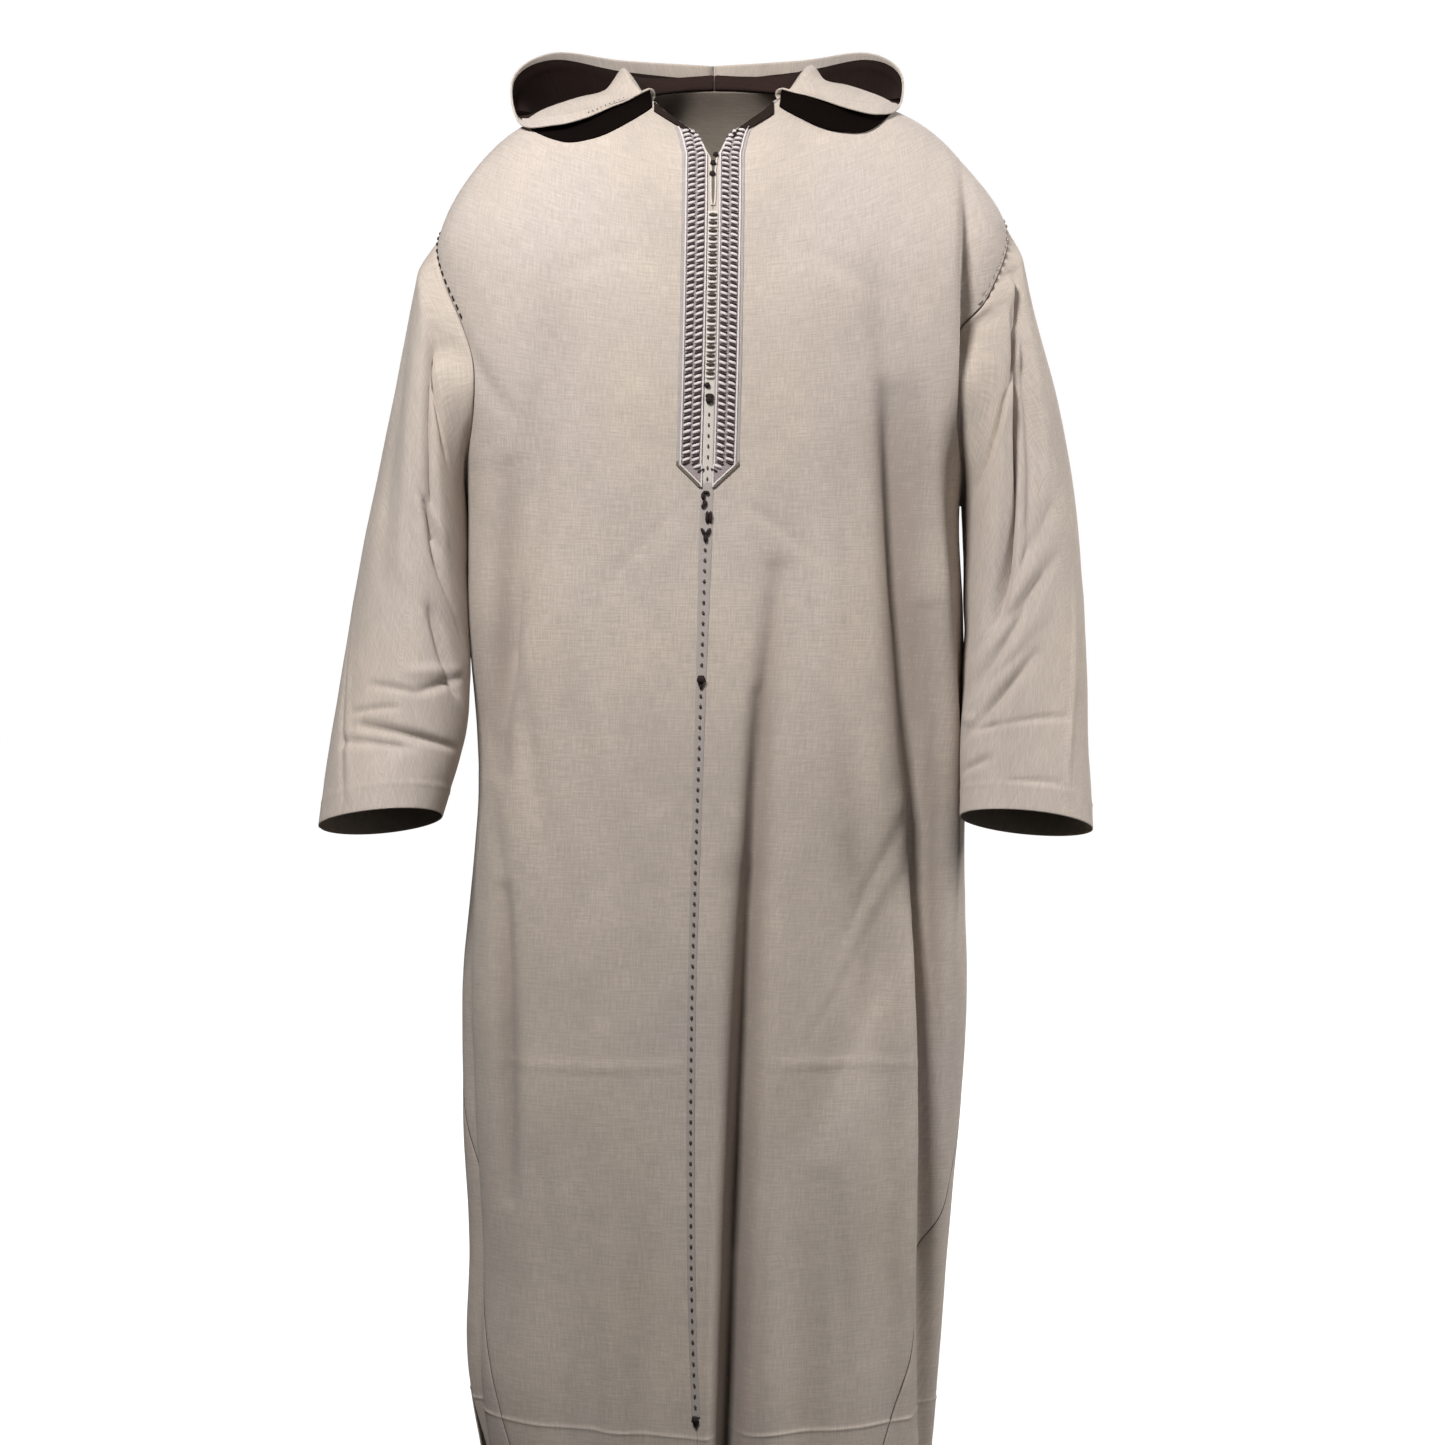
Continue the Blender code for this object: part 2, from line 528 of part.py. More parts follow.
def left_columns(rows, seam, start, edge):
    """Angles of the left front panel's points, which follow its folds."""
    even = start[:, None] + (edge - start)[:, None] * np.linspace(0, 1, LEFT_COLUMNS + 1)[None, :]
    placket = [angle_at(seam + np.maximum(line, opening(rows) + 0.0022 * k), rows)
               for k, line in enumerate(PLACKET_LINES)]
    pleat = fold_angle("centre_pleat", rows)
    valley = fold_angle("side_valley", rows)
    first = pleat + PLEAT_OFFSETS[0] / PLEAT_RADIUS
    columns = []
    for k in range(4):
        columns.append(start + (first - start) * k / 4)
    columns += [pleat + offset / PLEAT_RADIUS for offset in PLEAT_OFFSETS]
    near = columns[-1]
    for k in (1, 2, 3, 4):
        columns.append(near + (valley + VALLEY_OFFSETS[0] / VALLEY_RADIUS - near) * k / 5)
    columns += [valley + offset / VALLEY_RADIUS for offset in VALLEY_OFFSETS]
    columns.append((columns[-1] + edge) / 2)
    columns.append(edge)
    columns = np.stack(columns, axis=1)
    room = np.arange(LEFT_COLUMNS, -1, -1) * math.radians(1.4)
    columns = np.minimum(columns, edge[:, None] - room[None, :])
    inside = smooth_step((edge - valley - math.radians(4)) / math.radians(11))[:, None]
    shared = near[:, None] + (edge - near)[:, None] * np.linspace(0, 1, LEFT_COLUMNS - 8)[None, :]
    columns[:, 9:] = columns[:, 9:] * inside + shared * (1 - inside)
    follow = smooth_step((rows - 0.24) / 0.14)[:, None]
    angles = even * (1 - follow) + columns * follow
    upper = 1 - smooth_step((rows - 0.50) / 0.12)
    for k in range(1, 4):
        angles[:, k] += (placket[k] - angles[:, k]) * upper
    for k in range(4, LEFT_COLUMNS):
        share = (k - 3) / (LEFT_COLUMNS - 3)
        spread = placket[3] + (edge - placket[3]) * share
        clear = np.where(upper > 0, placket[3] + (k - 3) * 0.02, angles[:, k])
        angles[:, k] = np.maximum(angles[:, k], clear)
        angles[:, k] += (spread - angles[:, k]) * (1 - follow[:, 0])
    return angles


def front_panel_grid(side, rows):
    """Angles of a front panel's points, one row for each distance down the cloth."""
    seam = seam_offset(rows)
    start = angle_at(seam + side * opening(rows), rows)
    edge = side * panel_spread(rows, side)
    if side > 0:
        angles = left_columns(rows, seam, start, edge)
    else:
        lines = [start]
        for k, line in enumerate(PLACKET_LINES[1:], start=1):
            lines.append(angle_at(seam + side * np.maximum(line, opening(rows) + 0.0022 * k), rows))
        last = lines[-1]
        for k in range(1, RIGHT_COLUMNS + 1):
            lines.append(last + (edge - last) * k / RIGHT_COLUMNS)
        angles = np.stack(lines, axis=1)
    angles[:, 0] = start
    angles[:, -1] = side * panel_edge(rows, side)
    return angles


def make_front(name, side):
    """One front panel, from the shoulder seam and neck to the hem."""
    rows = body_rows()
    angles = front_panel_grid(side, rows)
    downs = np.broadcast_to(rows[:, None], angles.shape)
    middle = body_surface(angles, downs)
    normals = body_normals(angles, downs)
    cloth_wall(name, middle, normals)


def make_back():
    """The back panel, from one side line to the other."""
    rows = body_rows()
    rows = np.concatenate([rows[:1], rows[2:3], rows[4:5], rows[6:]])
    share = np.linspace(0, 1, 18)
    left = panel_spread(rows, LEFT)[:, None]
    right = panel_spread(rows, RIGHT)[:, None]
    angles = math.pi - left + (left + right) * share[None, :]
    angles[:, 0] = math.pi - panel_edge(rows, LEFT)
    angles[:, -1] = math.pi + panel_edge(rows, RIGHT)
    downs = np.broadcast_to(rows[:, None], angles.shape)
    cloth_wall("back", body_surface(angles, downs), body_normals(angles, downs))


def make_gore(name, side, back):
    """One gore: a long triangle between a panel and the side seam, open at the slit."""
    rows = body_rows()
    rows = rows[rows >= GORE_TOP - 1e-9]
    rows = np.concatenate([[GORE_TOP + SEAM_GAP], rows[1:]])
    near = gore_angle(rows, side) + gap_angle(rows, side)
    slit = (SLIT_BACK if back else SLIT_FRONT) * slit_share(rows)
    far = RIGHT_ANGLE - gap_angle(rows, side) - slit
    share = np.linspace(0, 1, 8 if side > 0 and not back else 5)
    from_centre = near[:, None] + (far - near)[:, None] * share[None, :]
    angles = side * (math.pi - from_centre if back else from_centre)
    downs = np.broadcast_to(rows[:, None], angles.shape)
    cloth_wall(name, body_surface(angles, downs), body_normals(angles, downs))


def armhole_loop(side):
    """The armhole's edge: angles and distances down, from the top round by the front."""
    downs = armhole_rows()
    turn = armhole_turn(downs)
    front = RIGHT_ANGLE - turn
    back = RIGHT_ANGLE + turn
    loop_downs = np.concatenate([downs, downs[-2:0:-1]])
    loop_angles = side * np.concatenate([front, back[-2:0:-1]])
    return loop_angles, loop_downs


def sleeve_ring(table, side, along, turn):
    """Points of a sleeve's smooth tube, by place along it and angle round it."""
    size = {name: read_table(table, SLEEVE_COLUMNS, "along", along, name)[:, None]
            for name in SLEEVE_COLUMNS[1:]}
    across = np.cos(turn)[None, :]
    front = np.sin(turn)[None, :]
    middle_x = (size["outer_x"] + size["inner_x"]) / 2
    middle_z = (size["outer_z"] + size["inner_z"]) / 2
    x = middle_x + (size["outer_x"] - size["inner_x"]) / 2 * across
    z = middle_z + (size["outer_z"] - size["inner_z"]) / 2 * across + size["lift"] * front
    y = -size["forward"] - size["half_depth"] * front + size["slew"] * across
    return np.stack([side * x, y, z], axis=-1)


def sleeve_fold(folds, along, turn, radius, length):
    """How far a sleeve's folds sink its cloth."""
    total = np.zeros((len(along), len(turn)))
    a = along[:, None]
    degrees = np.degrees(turn)[None, :]
    for fold in fold_rows(SLEEVE_FOLD_COLUMNS, folds):
        start = np.array([fold["along_a"] * length, math.radians(fold["round_a"]) * radius])
        end = np.array([fold["along_b"] * length, math.radians(fold["round_b"]) * radius])
        run = end - start
        px = a * length - start[0]
        py = np.radians(degrees) * radius - start[1]
        t = np.clip((px * run[0] + py * run[1]) / (run @ run), 0, 1)
        distance = np.hypot(px - t * run[0], py - t * run[1])
        taper = np.sin(math.pi * np.clip(t, 0.0, 1.0)) ** 0.5 * 0.8 + 0.2
        total += fold["depth"] * taper * trough(distance, fold["width"])
    facing = np.clip(np.cos(turn - math.radians(195)), 0, 1) ** 2
    return total * (1 - facing)[None, :]


def make_sleeve(name, side, table, folds):
    """One sleeve, from the armhole's edge to the open cuff."""
    loop_angles, loop_downs = armhole_loop(side)
    count = len(loop_angles)
    edge = body_surface(loop_angles, loop_downs)
    outward = body_normals(loop_angles, loop_downs)
    tangent = np.roll(edge, -1, axis=0) - np.roll(edge, 1, axis=0)
    tangent /= np.linalg.norm(tangent, axis=1, keepdims=True)
    into = np.cross(tangent, outward)
    into /= np.linalg.norm(into, axis=1, keepdims=True)
    centre = edge.mean(axis=0)
    into *= np.sign(np.einsum("ij,ij->i", into, centre - edge))[:, None]
    turn = np.linspace(0, 2 * math.pi, count, endpoint=False)
    along = np.linspace(0.05, 1.0, 14)
    tube = sleeve_ring(table, side, along, turn)
    tube_normals = grid_normals(tube, True)
    tube_normals *= np.sign((tube_normals * (tube - tube.mean(axis=1, keepdims=True))).sum(-1))[..., None]
    tube = tube - tube_normals * sleeve_fold(folds, along, turn, 0.075, 0.60)[..., None]
    heading = tube[0] - edge
    heading /= np.linalg.norm(heading, axis=1, keepdims=True)
    lean = np.einsum("ij,ij->i", heading, into)[:, None]
    heading = np.where(lean < 0, heading - lean * into, heading)
    heading /= np.linalg.norm(heading, axis=1, keepdims=True)
    lean = np.clip(np.einsum("ij,ij->i", heading, into), 0, 1)[:, None]
    start = edge + into * (SEAM_GAP + HALF_WALL * np.sqrt(1 - lean**2))
    step = start + heading * SLEEVE_STEP_OUT + outward * SLEEVE_STEP_OUT * (1 - lean)
    middle = np.concatenate([start[None], step[None], tube])
    normals = grid_normals(middle, True)
    normals *= np.sign((normals * (middle - middle.mean(axis=1, keepdims=True))).sum())
    cloth_wall(name, middle, normals, closed=True)


def through_stops(stops, slopes, keys, values):
    """Smooth curves through stops with given slopes, read at some values of their key."""
    row = np.clip(np.searchsorted(keys, values) - 1, 0, len(keys) - 2)
    step = (keys[row + 1] - keys[row])[:, None, None]
    t = (values - keys[row])[:, None, None] / step
    return (
        (1 + 2 * t) * (1 - t) ** 2 * stops[row]
        + t * (1 - t) ** 2 * step * slopes[row]
        + t * t * (3 - 2 * t) * stops[row + 1]
        + t * t * (t - 1) * step * slopes[row + 1]
    )


def over_body(angle, down, clear):
    """Points over the body's cloth by some clearance."""
    return body_surface(angle, down) + body_normals(angle, down) * np.asarray(clear)[..., None]


def hood_surface(table, side, share, out):
    """The hood's cloth, by share of the way to the centre back and from the neck edge."""
    size = {name: read_table(table, HOOD_COLUMNS, "share", share, name)
            for name in HOOD_COLUMNS[1:]}
    neck_angle = side * np.radians(size["neck_angle"])
    floor_angle = side * np.radians(size["floor_angle"])
    heading = np.stack([np.sin(floor_angle), -np.cos(floor_angle), np.zeros(len(share))], axis=1)
    upward = np.array([0.0, 0.0, 1.0])
    neck = body_surface(neck_angle, np.zeros(len(share)))
    rise = neck - body_surface(neck_angle, np.full(len(share), 0.004))
    rise /= np.linalg.norm(rise, axis=1, keepdims=True)
    roll = neck + heading * HOOD_ROLL_OUT + upward * size["roll_up"][:, None]
    down, clear = size["floor_down"], size["floor_clear"]
    lie = over_body(neck_angle * 0.6 + floor_angle * 0.4, down * 0.33, clear + 0.003)
    slope = over_body(neck_angle * 0.3 + floor_angle * 0.7, down * 0.66, clear + 0.001)
    floor = over_body(floor_angle, down, clear)
    rim = np.stack([side * size["rim_x"], size["rim_y"], size["rim_z"]], axis=1)
    wall = (floor + rim) / 2 + heading * size["wall_out"][:, None]
    seam = neck + rise * HOOD_LIFT
    stops = np.stack([seam, neck + rise * 0.004, roll, lie, slope, floor, wall, rim])
    keys = np.array(HOOD_STOPS)
    along = keys[:, None, None]
    straight = seam + (rim - seam) * along + rise * HOOD_ARCH * 4 * along * (1 - along)
    shaped = smooth_step(share / HOOD_STRAIGHT)[:, None]
    stops = straight * (1 - shaped) + stops * shaped
    slopes = np.gradient(stops, keys, axis=0)
    hangs = smooth_step((share - 0.5) / 0.3)[:, None]
    slopes[HOOD_FLOOR_STOP] *= 1 - hangs * upward
    slopes[HOOD_FLOOR_STOP] += heading * hangs * HOOD_TURN
    return through_stops(stops, slopes, keys, out)


def make_hood(name, side, table):
    """Half of the hood, from the front of the neck to the centre back."""
    share = np.linspace(0, 1, 17)
    out = np.array([0.0, 0.04, 0.10, 0.16, 0.24, 0.34, 0.45, 0.55, 0.60, 0.65, 0.76, 0.88, 1.0])
    middle = hood_surface(table, side, share, out)
    middle[:, -1, 0] = side * HALF_GAP
    normals = -side * grid_normals(middle, False)
    neck_angle = side * np.radians(read_table(table, HOOD_COLUMNS, "share", share, "neck_angle"))
    normals[0] += 2 * body_normals(neck_angle, np.zeros(len(share)))
    normals[0] /= np.linalg.norm(normals[0], axis=-1, keepdims=True)
    normals[1] += normals[0]
    normals[:, -1, 0] = 0
    normals /= np.linalg.norm(normals, axis=-1, keepdims=True)
    cloth_wall(name, middle, normals)


def trim_grid(lines, downs):
    """Angles and distances down of a trim's points, from its lines' places off the seam."""
    downs = np.broadcast_to(downs[:, None], lines.shape)
    return angle_at(seam_offset(downs) + lines, downs), downs


def trim_wall(name, lines, downs, face, colour):
    """A trim that lies on the body's cloth, with a face that stands at given heights."""
    angles, downs = trim_grid(lines, downs)
    middle = body_surface(angles, downs)
    normals = body_normals(angles, downs)
    outer = middle + normals * face[..., None]
    inner = middle + normals * TRIM_BASE
    wall_from_faces(name, outer, inner, False, colour)


def make_band(name, side):
    """One braided band of the placket, cut by the neck's V above and pointed below."""
    downs = np.concatenate([np.array([BAND_TOP, 0.041, 0.060, 0.072, 0.086, 0.105]),
                            np.linspace(0.130, BAND_SHOULDER, 11), [BAND_POINT]])
    lines = table_column(BAND_LINES, BAND_COLUMNS, "line")
    share = (lines - lines[0]) / (lines[-1] - lines[0])
    inner = np.maximum(lines[0], opening(downs) + 0.0012)
    outer = np.where(downs > BAND_SHOULDER, BAND_POINT_WIDTH, lines[-1])
    places = inner[:, None] + (outer - inner)[:, None] * share[None, :]
    face = np.broadcast_to(table_column(BAND_LINES, BAND_COLUMNS, "face"), places.shape)
    trim_wall(name, side * places, downs, face, "braid")


def make_buttons():
    """The row of knot buttons, as one strip with a bar for each pair."""
    downs = np.linspace(BUTTON_TOP, BUTTON_LOW, 2 * BUTTON_BARS + 1)
    places = np.broadcast_to(np.array([-1, -0.5, 0.5, 1]) * BUTTON_HALF_WIDTH, (len(downs), 4))
    face = np.full(places.shape, BUTTON_FACE)
    face[1::2, 1:3] = BUTTON_RISE
    trim_wall("button_row", places, downs, face, "knot")


def make_motif(name, top, low, half_width, offset, face_height):
    """A small raised motif or knot on the centre seam."""
    downs = np.linspace(top, low, 5)
    across = np.array([-1, -0.55, 0, 0.55, 1])
    narrow = np.array([0.55, 0.92, 1, 0.92, 0.55])
    places = offset + half_width * across[None, :] * narrow[:, None]
    dome = np.array([0, 0.8, 1, 0.8, 0])
    rise = (face_height - TRIM_BASE - 0.0006) * dome[:, None] * dome[None, :]
    trim_wall(name, places, downs, TRIM_BASE + 0.0006 + rise, "knot")


def start_scene():
    """Removes what the scene holds."""
    for piece in list(bpy.data.objects):
        bpy.data.objects.remove(piece)


def main():
    start_scene()
    make_front("front_left", LEFT)
    make_front("front_right", RIGHT)
    make_back()
    for side, word in ((LEFT, "left"), (RIGHT, "right")):
        make_gore("front_gore_" + word, side, False)
        make_gore("back_gore_" + word, side, True)
    make_sleeve("sleeve_left", LEFT, SLEEVE_LEFT, SLEEVE_LEFT_FOLDS)
    make_sleeve("sleeve_right", RIGHT, SLEEVE_RIGHT, SLEEVE_RIGHT_FOLDS)
    make_hood("hood_left", LEFT, HOOD_LEFT)
    make_hood("hood_right", RIGHT, HOOD_RIGHT)
    make_band("placket_left", LEFT)
    make_band("placket_right", RIGHT)
    make_buttons()
    for motif in MOTIFS:
        make_motif(*motif)


main()
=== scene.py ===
"""The looks of a hooded djellaba: its woven cloth, folds, creases, braided placket and seams.

Units are metres, +Z is up and the front faces -Y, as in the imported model. The cloth is the
same tube of rings as the model's, so its tables and shape functions are repeated here, with
finer points, creases and stitches on it.
"""

import math

import bmesh
import bpy
import numpy as np
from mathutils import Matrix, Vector


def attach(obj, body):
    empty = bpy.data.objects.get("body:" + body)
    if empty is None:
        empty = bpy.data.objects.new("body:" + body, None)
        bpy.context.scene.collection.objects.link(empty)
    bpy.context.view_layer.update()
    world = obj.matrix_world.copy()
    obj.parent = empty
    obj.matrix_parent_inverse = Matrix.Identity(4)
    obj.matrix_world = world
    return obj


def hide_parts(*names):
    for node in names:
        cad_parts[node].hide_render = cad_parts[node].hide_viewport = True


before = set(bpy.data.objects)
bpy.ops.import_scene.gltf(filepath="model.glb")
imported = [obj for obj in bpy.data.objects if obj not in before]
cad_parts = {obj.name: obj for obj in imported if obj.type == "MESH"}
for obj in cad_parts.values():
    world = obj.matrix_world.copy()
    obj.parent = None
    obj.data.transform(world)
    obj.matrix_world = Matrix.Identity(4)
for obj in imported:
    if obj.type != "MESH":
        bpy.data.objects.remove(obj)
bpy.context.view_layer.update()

WALL = 0.002
HALF_WALL = WALL / 2
SEAM_GAP = 0.0003
HALF_GAP = SEAM_GAP / 2

RIGHT_ANGLE = math.pi / 2
LEFT, RIGHT = 1.0, -1.0

# The body's rings, by how far down the cloth each lies. The heights are at the centre
# front, at each side and at the centre back, the widths are from the middle to each
# side, and the depths from the middle to the front and to the back.
RING_COLUMNS = ("down", "front_z", "left_z", "right_z", "back_z",
                "left_w", "right_w", "front_d", "back_d", "squareness")
RINGS = (
    (0.000, -0.034, 0.004, 0.000, 0.014, 0.086, 0.080, 0.066, 0.062, 2.00),
    (0.065, -0.066, -0.004, -0.014, -0.016, 0.143, 0.140, 0.094, 0.088, 2.00),
    (0.135, -0.110, -0.028, -0.038, -0.062, 0.205, 0.202, 0.112, 0.112, 2.10),
    (0.200, -0.158, -0.068, -0.084, -0.108, 0.251, 0.248, 0.124, 0.124, 2.20),
    (0.270, -0.210, -0.130, -0.142, -0.165, 0.294, 0.278, 0.132, 0.128, 2.35),
    (0.370, -0.290, -0.245, -0.250, -0.262, 0.288, 0.276, 0.138, 0.128, 2.40),
    (0.530, -0.420, -0.415, -0.410, -0.415, 0.247, 0.245, 0.142, 0.124, 2.40),
    (0.640, -0.525, -0.525, -0.525, -0.525, 0.249, 0.242, 0.146, 0.124, 2.40),
    (0.760, -0.640, -0.640, -0.640, -0.640, 0.250, 0.236, 0.150, 0.130, 2.35),
    (0.880, -0.755, -0.755, -0.755, -0.755, 0.252, 0.242, 0.152, 0.138, 2.30),
    (1.020, -0.890, -0.890, -0.890, -0.890, 0.258, 0.256, 0.153, 0.146, 2.25),
    (1.160, -1.025, -1.025, -1.025, -1.025, 0.250, 0.256, 0.156, 0.152, 2.25),
    (1.320, -1.180, -1.180, -1.180, -1.180, 0.236, 0.250, 0.160, 0.158, 2.20),
    (1.440, -1.300, -1.298, -1.298, -1.300, 0.228, 0.252, 0.162, 0.160, 2.20),
    (1.540, -1.400, -1.394, -1.392, -1.400, 0.222, 0.238, 0.162, 0.160, 2.20),
)
HEM_DOWN = 1.540

# How far the centre front seam lies off the middle, by height.
SEAM_COLUMNS = ("z", "offset")
CENTRE_SEAM = (
    (-1.400, -0.013), (-1.340, -0.015), (-1.220, -0.020), (-1.080, -0.022),
    (-0.900, -0.021), (-0.750, -0.017), (-0.590, -0.012), (-0.390, -0.006),
    (-0.280, -0.003), (-0.050, 0.000), (0.000, 0.000),
)

# Half the width of the opening at the centre front, by how far down it is: the V of the
# neck, the slit that the knot buttons close, and the short slit at the hem.
OPENING_COLUMNS = ("down", "half_width")
NECK_OPENING = (
    (0.000, 0.0600), (0.010, 0.0470), (0.020, 0.0345), (0.030, 0.0255), (0.041, 0.0178),
    (0.060, 0.0108), (0.072, 0.0078),
    (0.086, 0.0030), (0.105, 0.0016), (0.130, 0.0020), (0.150, 0.0015), (0.162, 0.00015),
    (1.486, 0.00015), (1.500, 0.0012), (1.540, 0.0042),
)

ARMHOLE_TOP = 0.270
ARMHOLE_BOTTOM = 0.530
ARMHOLE_HALF_ANGLE = math.radians(19)
ARMHOLE_FULLNESS = 0.85

GORE_TOP = 1.120
GORE_POINT = math.radians(1.2)
# Where each gore's seam reaches the hem, as a distance from the middle.
GORE_HEM_X = {LEFT: 0.153, RIGHT: 0.188}
SLIT_TOP = 1.355
SLIT_FRONT = math.radians(9.5)
SLIT_BACK = math.radians(2.0)
SLIT_CURVE = 0.8

# The long folds of the front, as troughs that run down the cloth. Each path goes through
# three points as seen from the front, and a negative depth is a ridge.
FOLD_COLUMNS = ("name", "top_x", "mid_x", "low_x", "top_z", "low_z",
                "top_width", "low_width", "top_depth", "mid_depth", "low_depth")
FRONT_FOLDS = (
    ("centre_pleat", 0.060, 0.032, 0.010, -0.500, -1.405, 0.030, 0.0115, 0.0040, 0.021, 0.036),
    ("pleat_lip", 0.014, 0.000, -0.009, -0.780, -1.405, 0.024, 0.014, 0.0000, -0.005, -0.007),
    ("side_valley", 0.160, 0.211, 0.213, -0.235, -1.405, 0.013, 0.015, 0.0040, 0.020, 0.013),
    ("valley_lip", 0.180, 0.188, 0.190, -0.700, -1.405, 0.016, 0.016, 0.0000, -0.006, -0.005),
    ("chest_ridge", 0.194, 0.220, 0.236, -0.190, -0.800, 0.020, 0.018, -0.0030, -0.012, -0.006),
    ("chest_right", -0.156, -0.186, -0.222, -0.235, -0.640, 0.020, 0.024, 0.0020, 0.013, 0.006),
    ("shoulder_left", 0.250, 0.254, 0.250, -0.085, -0.330, 0.010, 0.012, 0.0020, 0.018, 0.012),
    ("shoulder_roll", 0.232, 0.234, 0.228, -0.090, -0.330, 0.016, 0.016, -0.0015, -0.006, -0.003),
    ("waist_left", 0.120, 0.142, 0.168, -0.400, -1.000, 0.020, 0.030, 0.0020, 0.009, 0.002),
    ("thigh_left", 0.190, 0.152, 0.088, -0.740, -1.060, 0.022, 0.028, 0.0020, 0.009, 0.002),
    ("thigh_right", -0.140, -0.136, -0.128, -0.880, -1.405, 0.030, 0.030, 0.0000, 0.006, 0.011),
    ("knee_right", -0.062, -0.066, -0.072, -0.980, -1.405, 0.022, 0.024, 0.0000, 0.005, 0.009),
    ("knee_left", 0.086, 0.090, 0.094, -0.960, -1.405, 0.026, 0.030, 0.0000, 0.007, 0.012),
)

# The folds of the sides and back, as the front's, with the path given by its angles in
# degrees round the body.
ROUND_FOLDS = (
    ("side_right", -82, -80, -78, -0.780, -1.405, 0.018, 0.022, 0.0000, 0.014, 0.012),
    ("back_side_left", 112, 116, 118, -0.300, -1.405, 0.018, 0.024, 0.0020, 0.016, 0.018),
    ("back_blade_left", 146, 144, 142, -0.230, -1.405, 0.020, 0.026, 0.0010, 0.010, 0.020),
    ("back_middle", 178, 182, 180, -0.440, -1.405, 0.030, 0.024, 0.0010, 0.008, 0.018),
    ("back_blade_right", -147, -143, -146, -0.230, -1.405, 0.022, 0.026, 0.0010, 0.012, 0.022),
    ("back_side_right", -112, -115, -119, -0.300, -1.405, 0.018, 0.024, 0.0020, 0.015, 0.017),
)

# The sleeves' rings, from just outside the armhole to the cuff. The outer and inner
# points are the ring's ends as seen from the front, at the wearer's left; forward is how
# far in front of the body's middle the ring lies, half_depth is half its size from front
# to back, lift is how much higher its front is than its middle, and slew is how much
# further forward its inner end is than its middle.
SLEEVE_COLUMNS = ("along", "outer_x", "outer_z", "inner_x", "inner_z",
                  "forward", "half_depth", "lift", "slew")
SLEEVE_LEFT = (
    (0.05, 0.312, -0.166, 0.2525, -0.432, 0.000, 0.086, 0.000, 0.000),
    (0.14, 0.326, -0.225, 0.2535, -0.462, 0.002, 0.090, 0.000, 0.004),
    (0.26, 0.348, -0.305, 0.2540, -0.500, 0.006, 0.088, 0.000, 0.012),
    (0.40, 0.365, -0.398, 0.2535, -0.545, 0.014, 0.083, 0.002, 0.020),
    (0.54, 0.373, -0.492, 0.2515, -0.590, 0.028, 0.078, 0.006, 0.024),
    (0.68, 0.375, -0.578, 0.2480, -0.632, 0.048, 0.072, 0.010, 0.022),
    (0.82, 0.374, -0.650, 0.2450, -0.672, 0.070, 0.066, 0.013, 0.018),
    (1.00, 0.375, -0.738, 0.2430, -0.722, 0.098, 0.060, 0.016, 0.010),
)
SLEEVE_RIGHT = (
    (0.05, 0.298, -0.180, 0.2505, -0.428, 0.000, 0.084, 0.000, 0.000),
    (0.14, 0.310, -0.240, 0.2510, -0.460, 0.002, 0.088, 0.000, 0.004),
    (0.26, 0.326, -0.318, 0.2500, -0.500, 0.006, 0.086, 0.000, 0.012),
    (0.40, 0.345, -0.408, 0.2480, -0.545, 0.014, 0.082, 0.002, 0.018),
    (0.54, 0.361, -0.498, 0.2465, -0.590, 0.028, 0.077, 0.006, 0.020),
    (0.68, 0.373, -0.582, 0.2480, -0.632, 0.048, 0.071, 0.010, 0.016),
    (0.82, 0.381, -0.652, 0.2560, -0.672, 0.070, 0.065, 0.013, 0.010),
    (1.00, 0.388, -0.735, 0.2690, -0.722, 0.098, 0.060, 0.016, 0.000),
)
SLEEVE_STEP_OUT = 0.0035

# The sleeves' folds: each runs between two points given by their place along the sleeve
# and their angle round it in degrees, 0 at the outer edge and 90 at the front.
SLEEVE_FOLD_COLUMNS = ("name", "along_a", "round_a", "along_b", "round_b", "width", "depth")
SLEEVE_LEFT_FOLDS = (
    ("armhole_drag", 0.04, 52, 0.46, 128, 0.016, 0.018),
    ("armhole_roll", 0.04, 34, 0.40, 92, 0.013, 0.012),
    ("elbow_upper", 0.62, 168, 0.46, 78, 0.016, 0.007),
    ("elbow_lower", 0.76, 170, 0.60, 84, 0.013, 0.008),
    ("forearm_bulge", 0.86, 176, 0.84, 128, 0.010, 0.006),
)
SLEEVE_RIGHT_FOLDS = (
    ("armhole_drag", 0.03, 70, 0.34, 118, 0.015, 0.010),
    ("elbow_pinch", 0.44, 112, 0.62, 150, 0.011, 0.012),
    ("forearm_long", 0.78, 168, 0.79, 58, 0.009, 0.008),
    ("forearm_short", 0.82, 108, 0.83, 40, 0.008, 0.005),
)

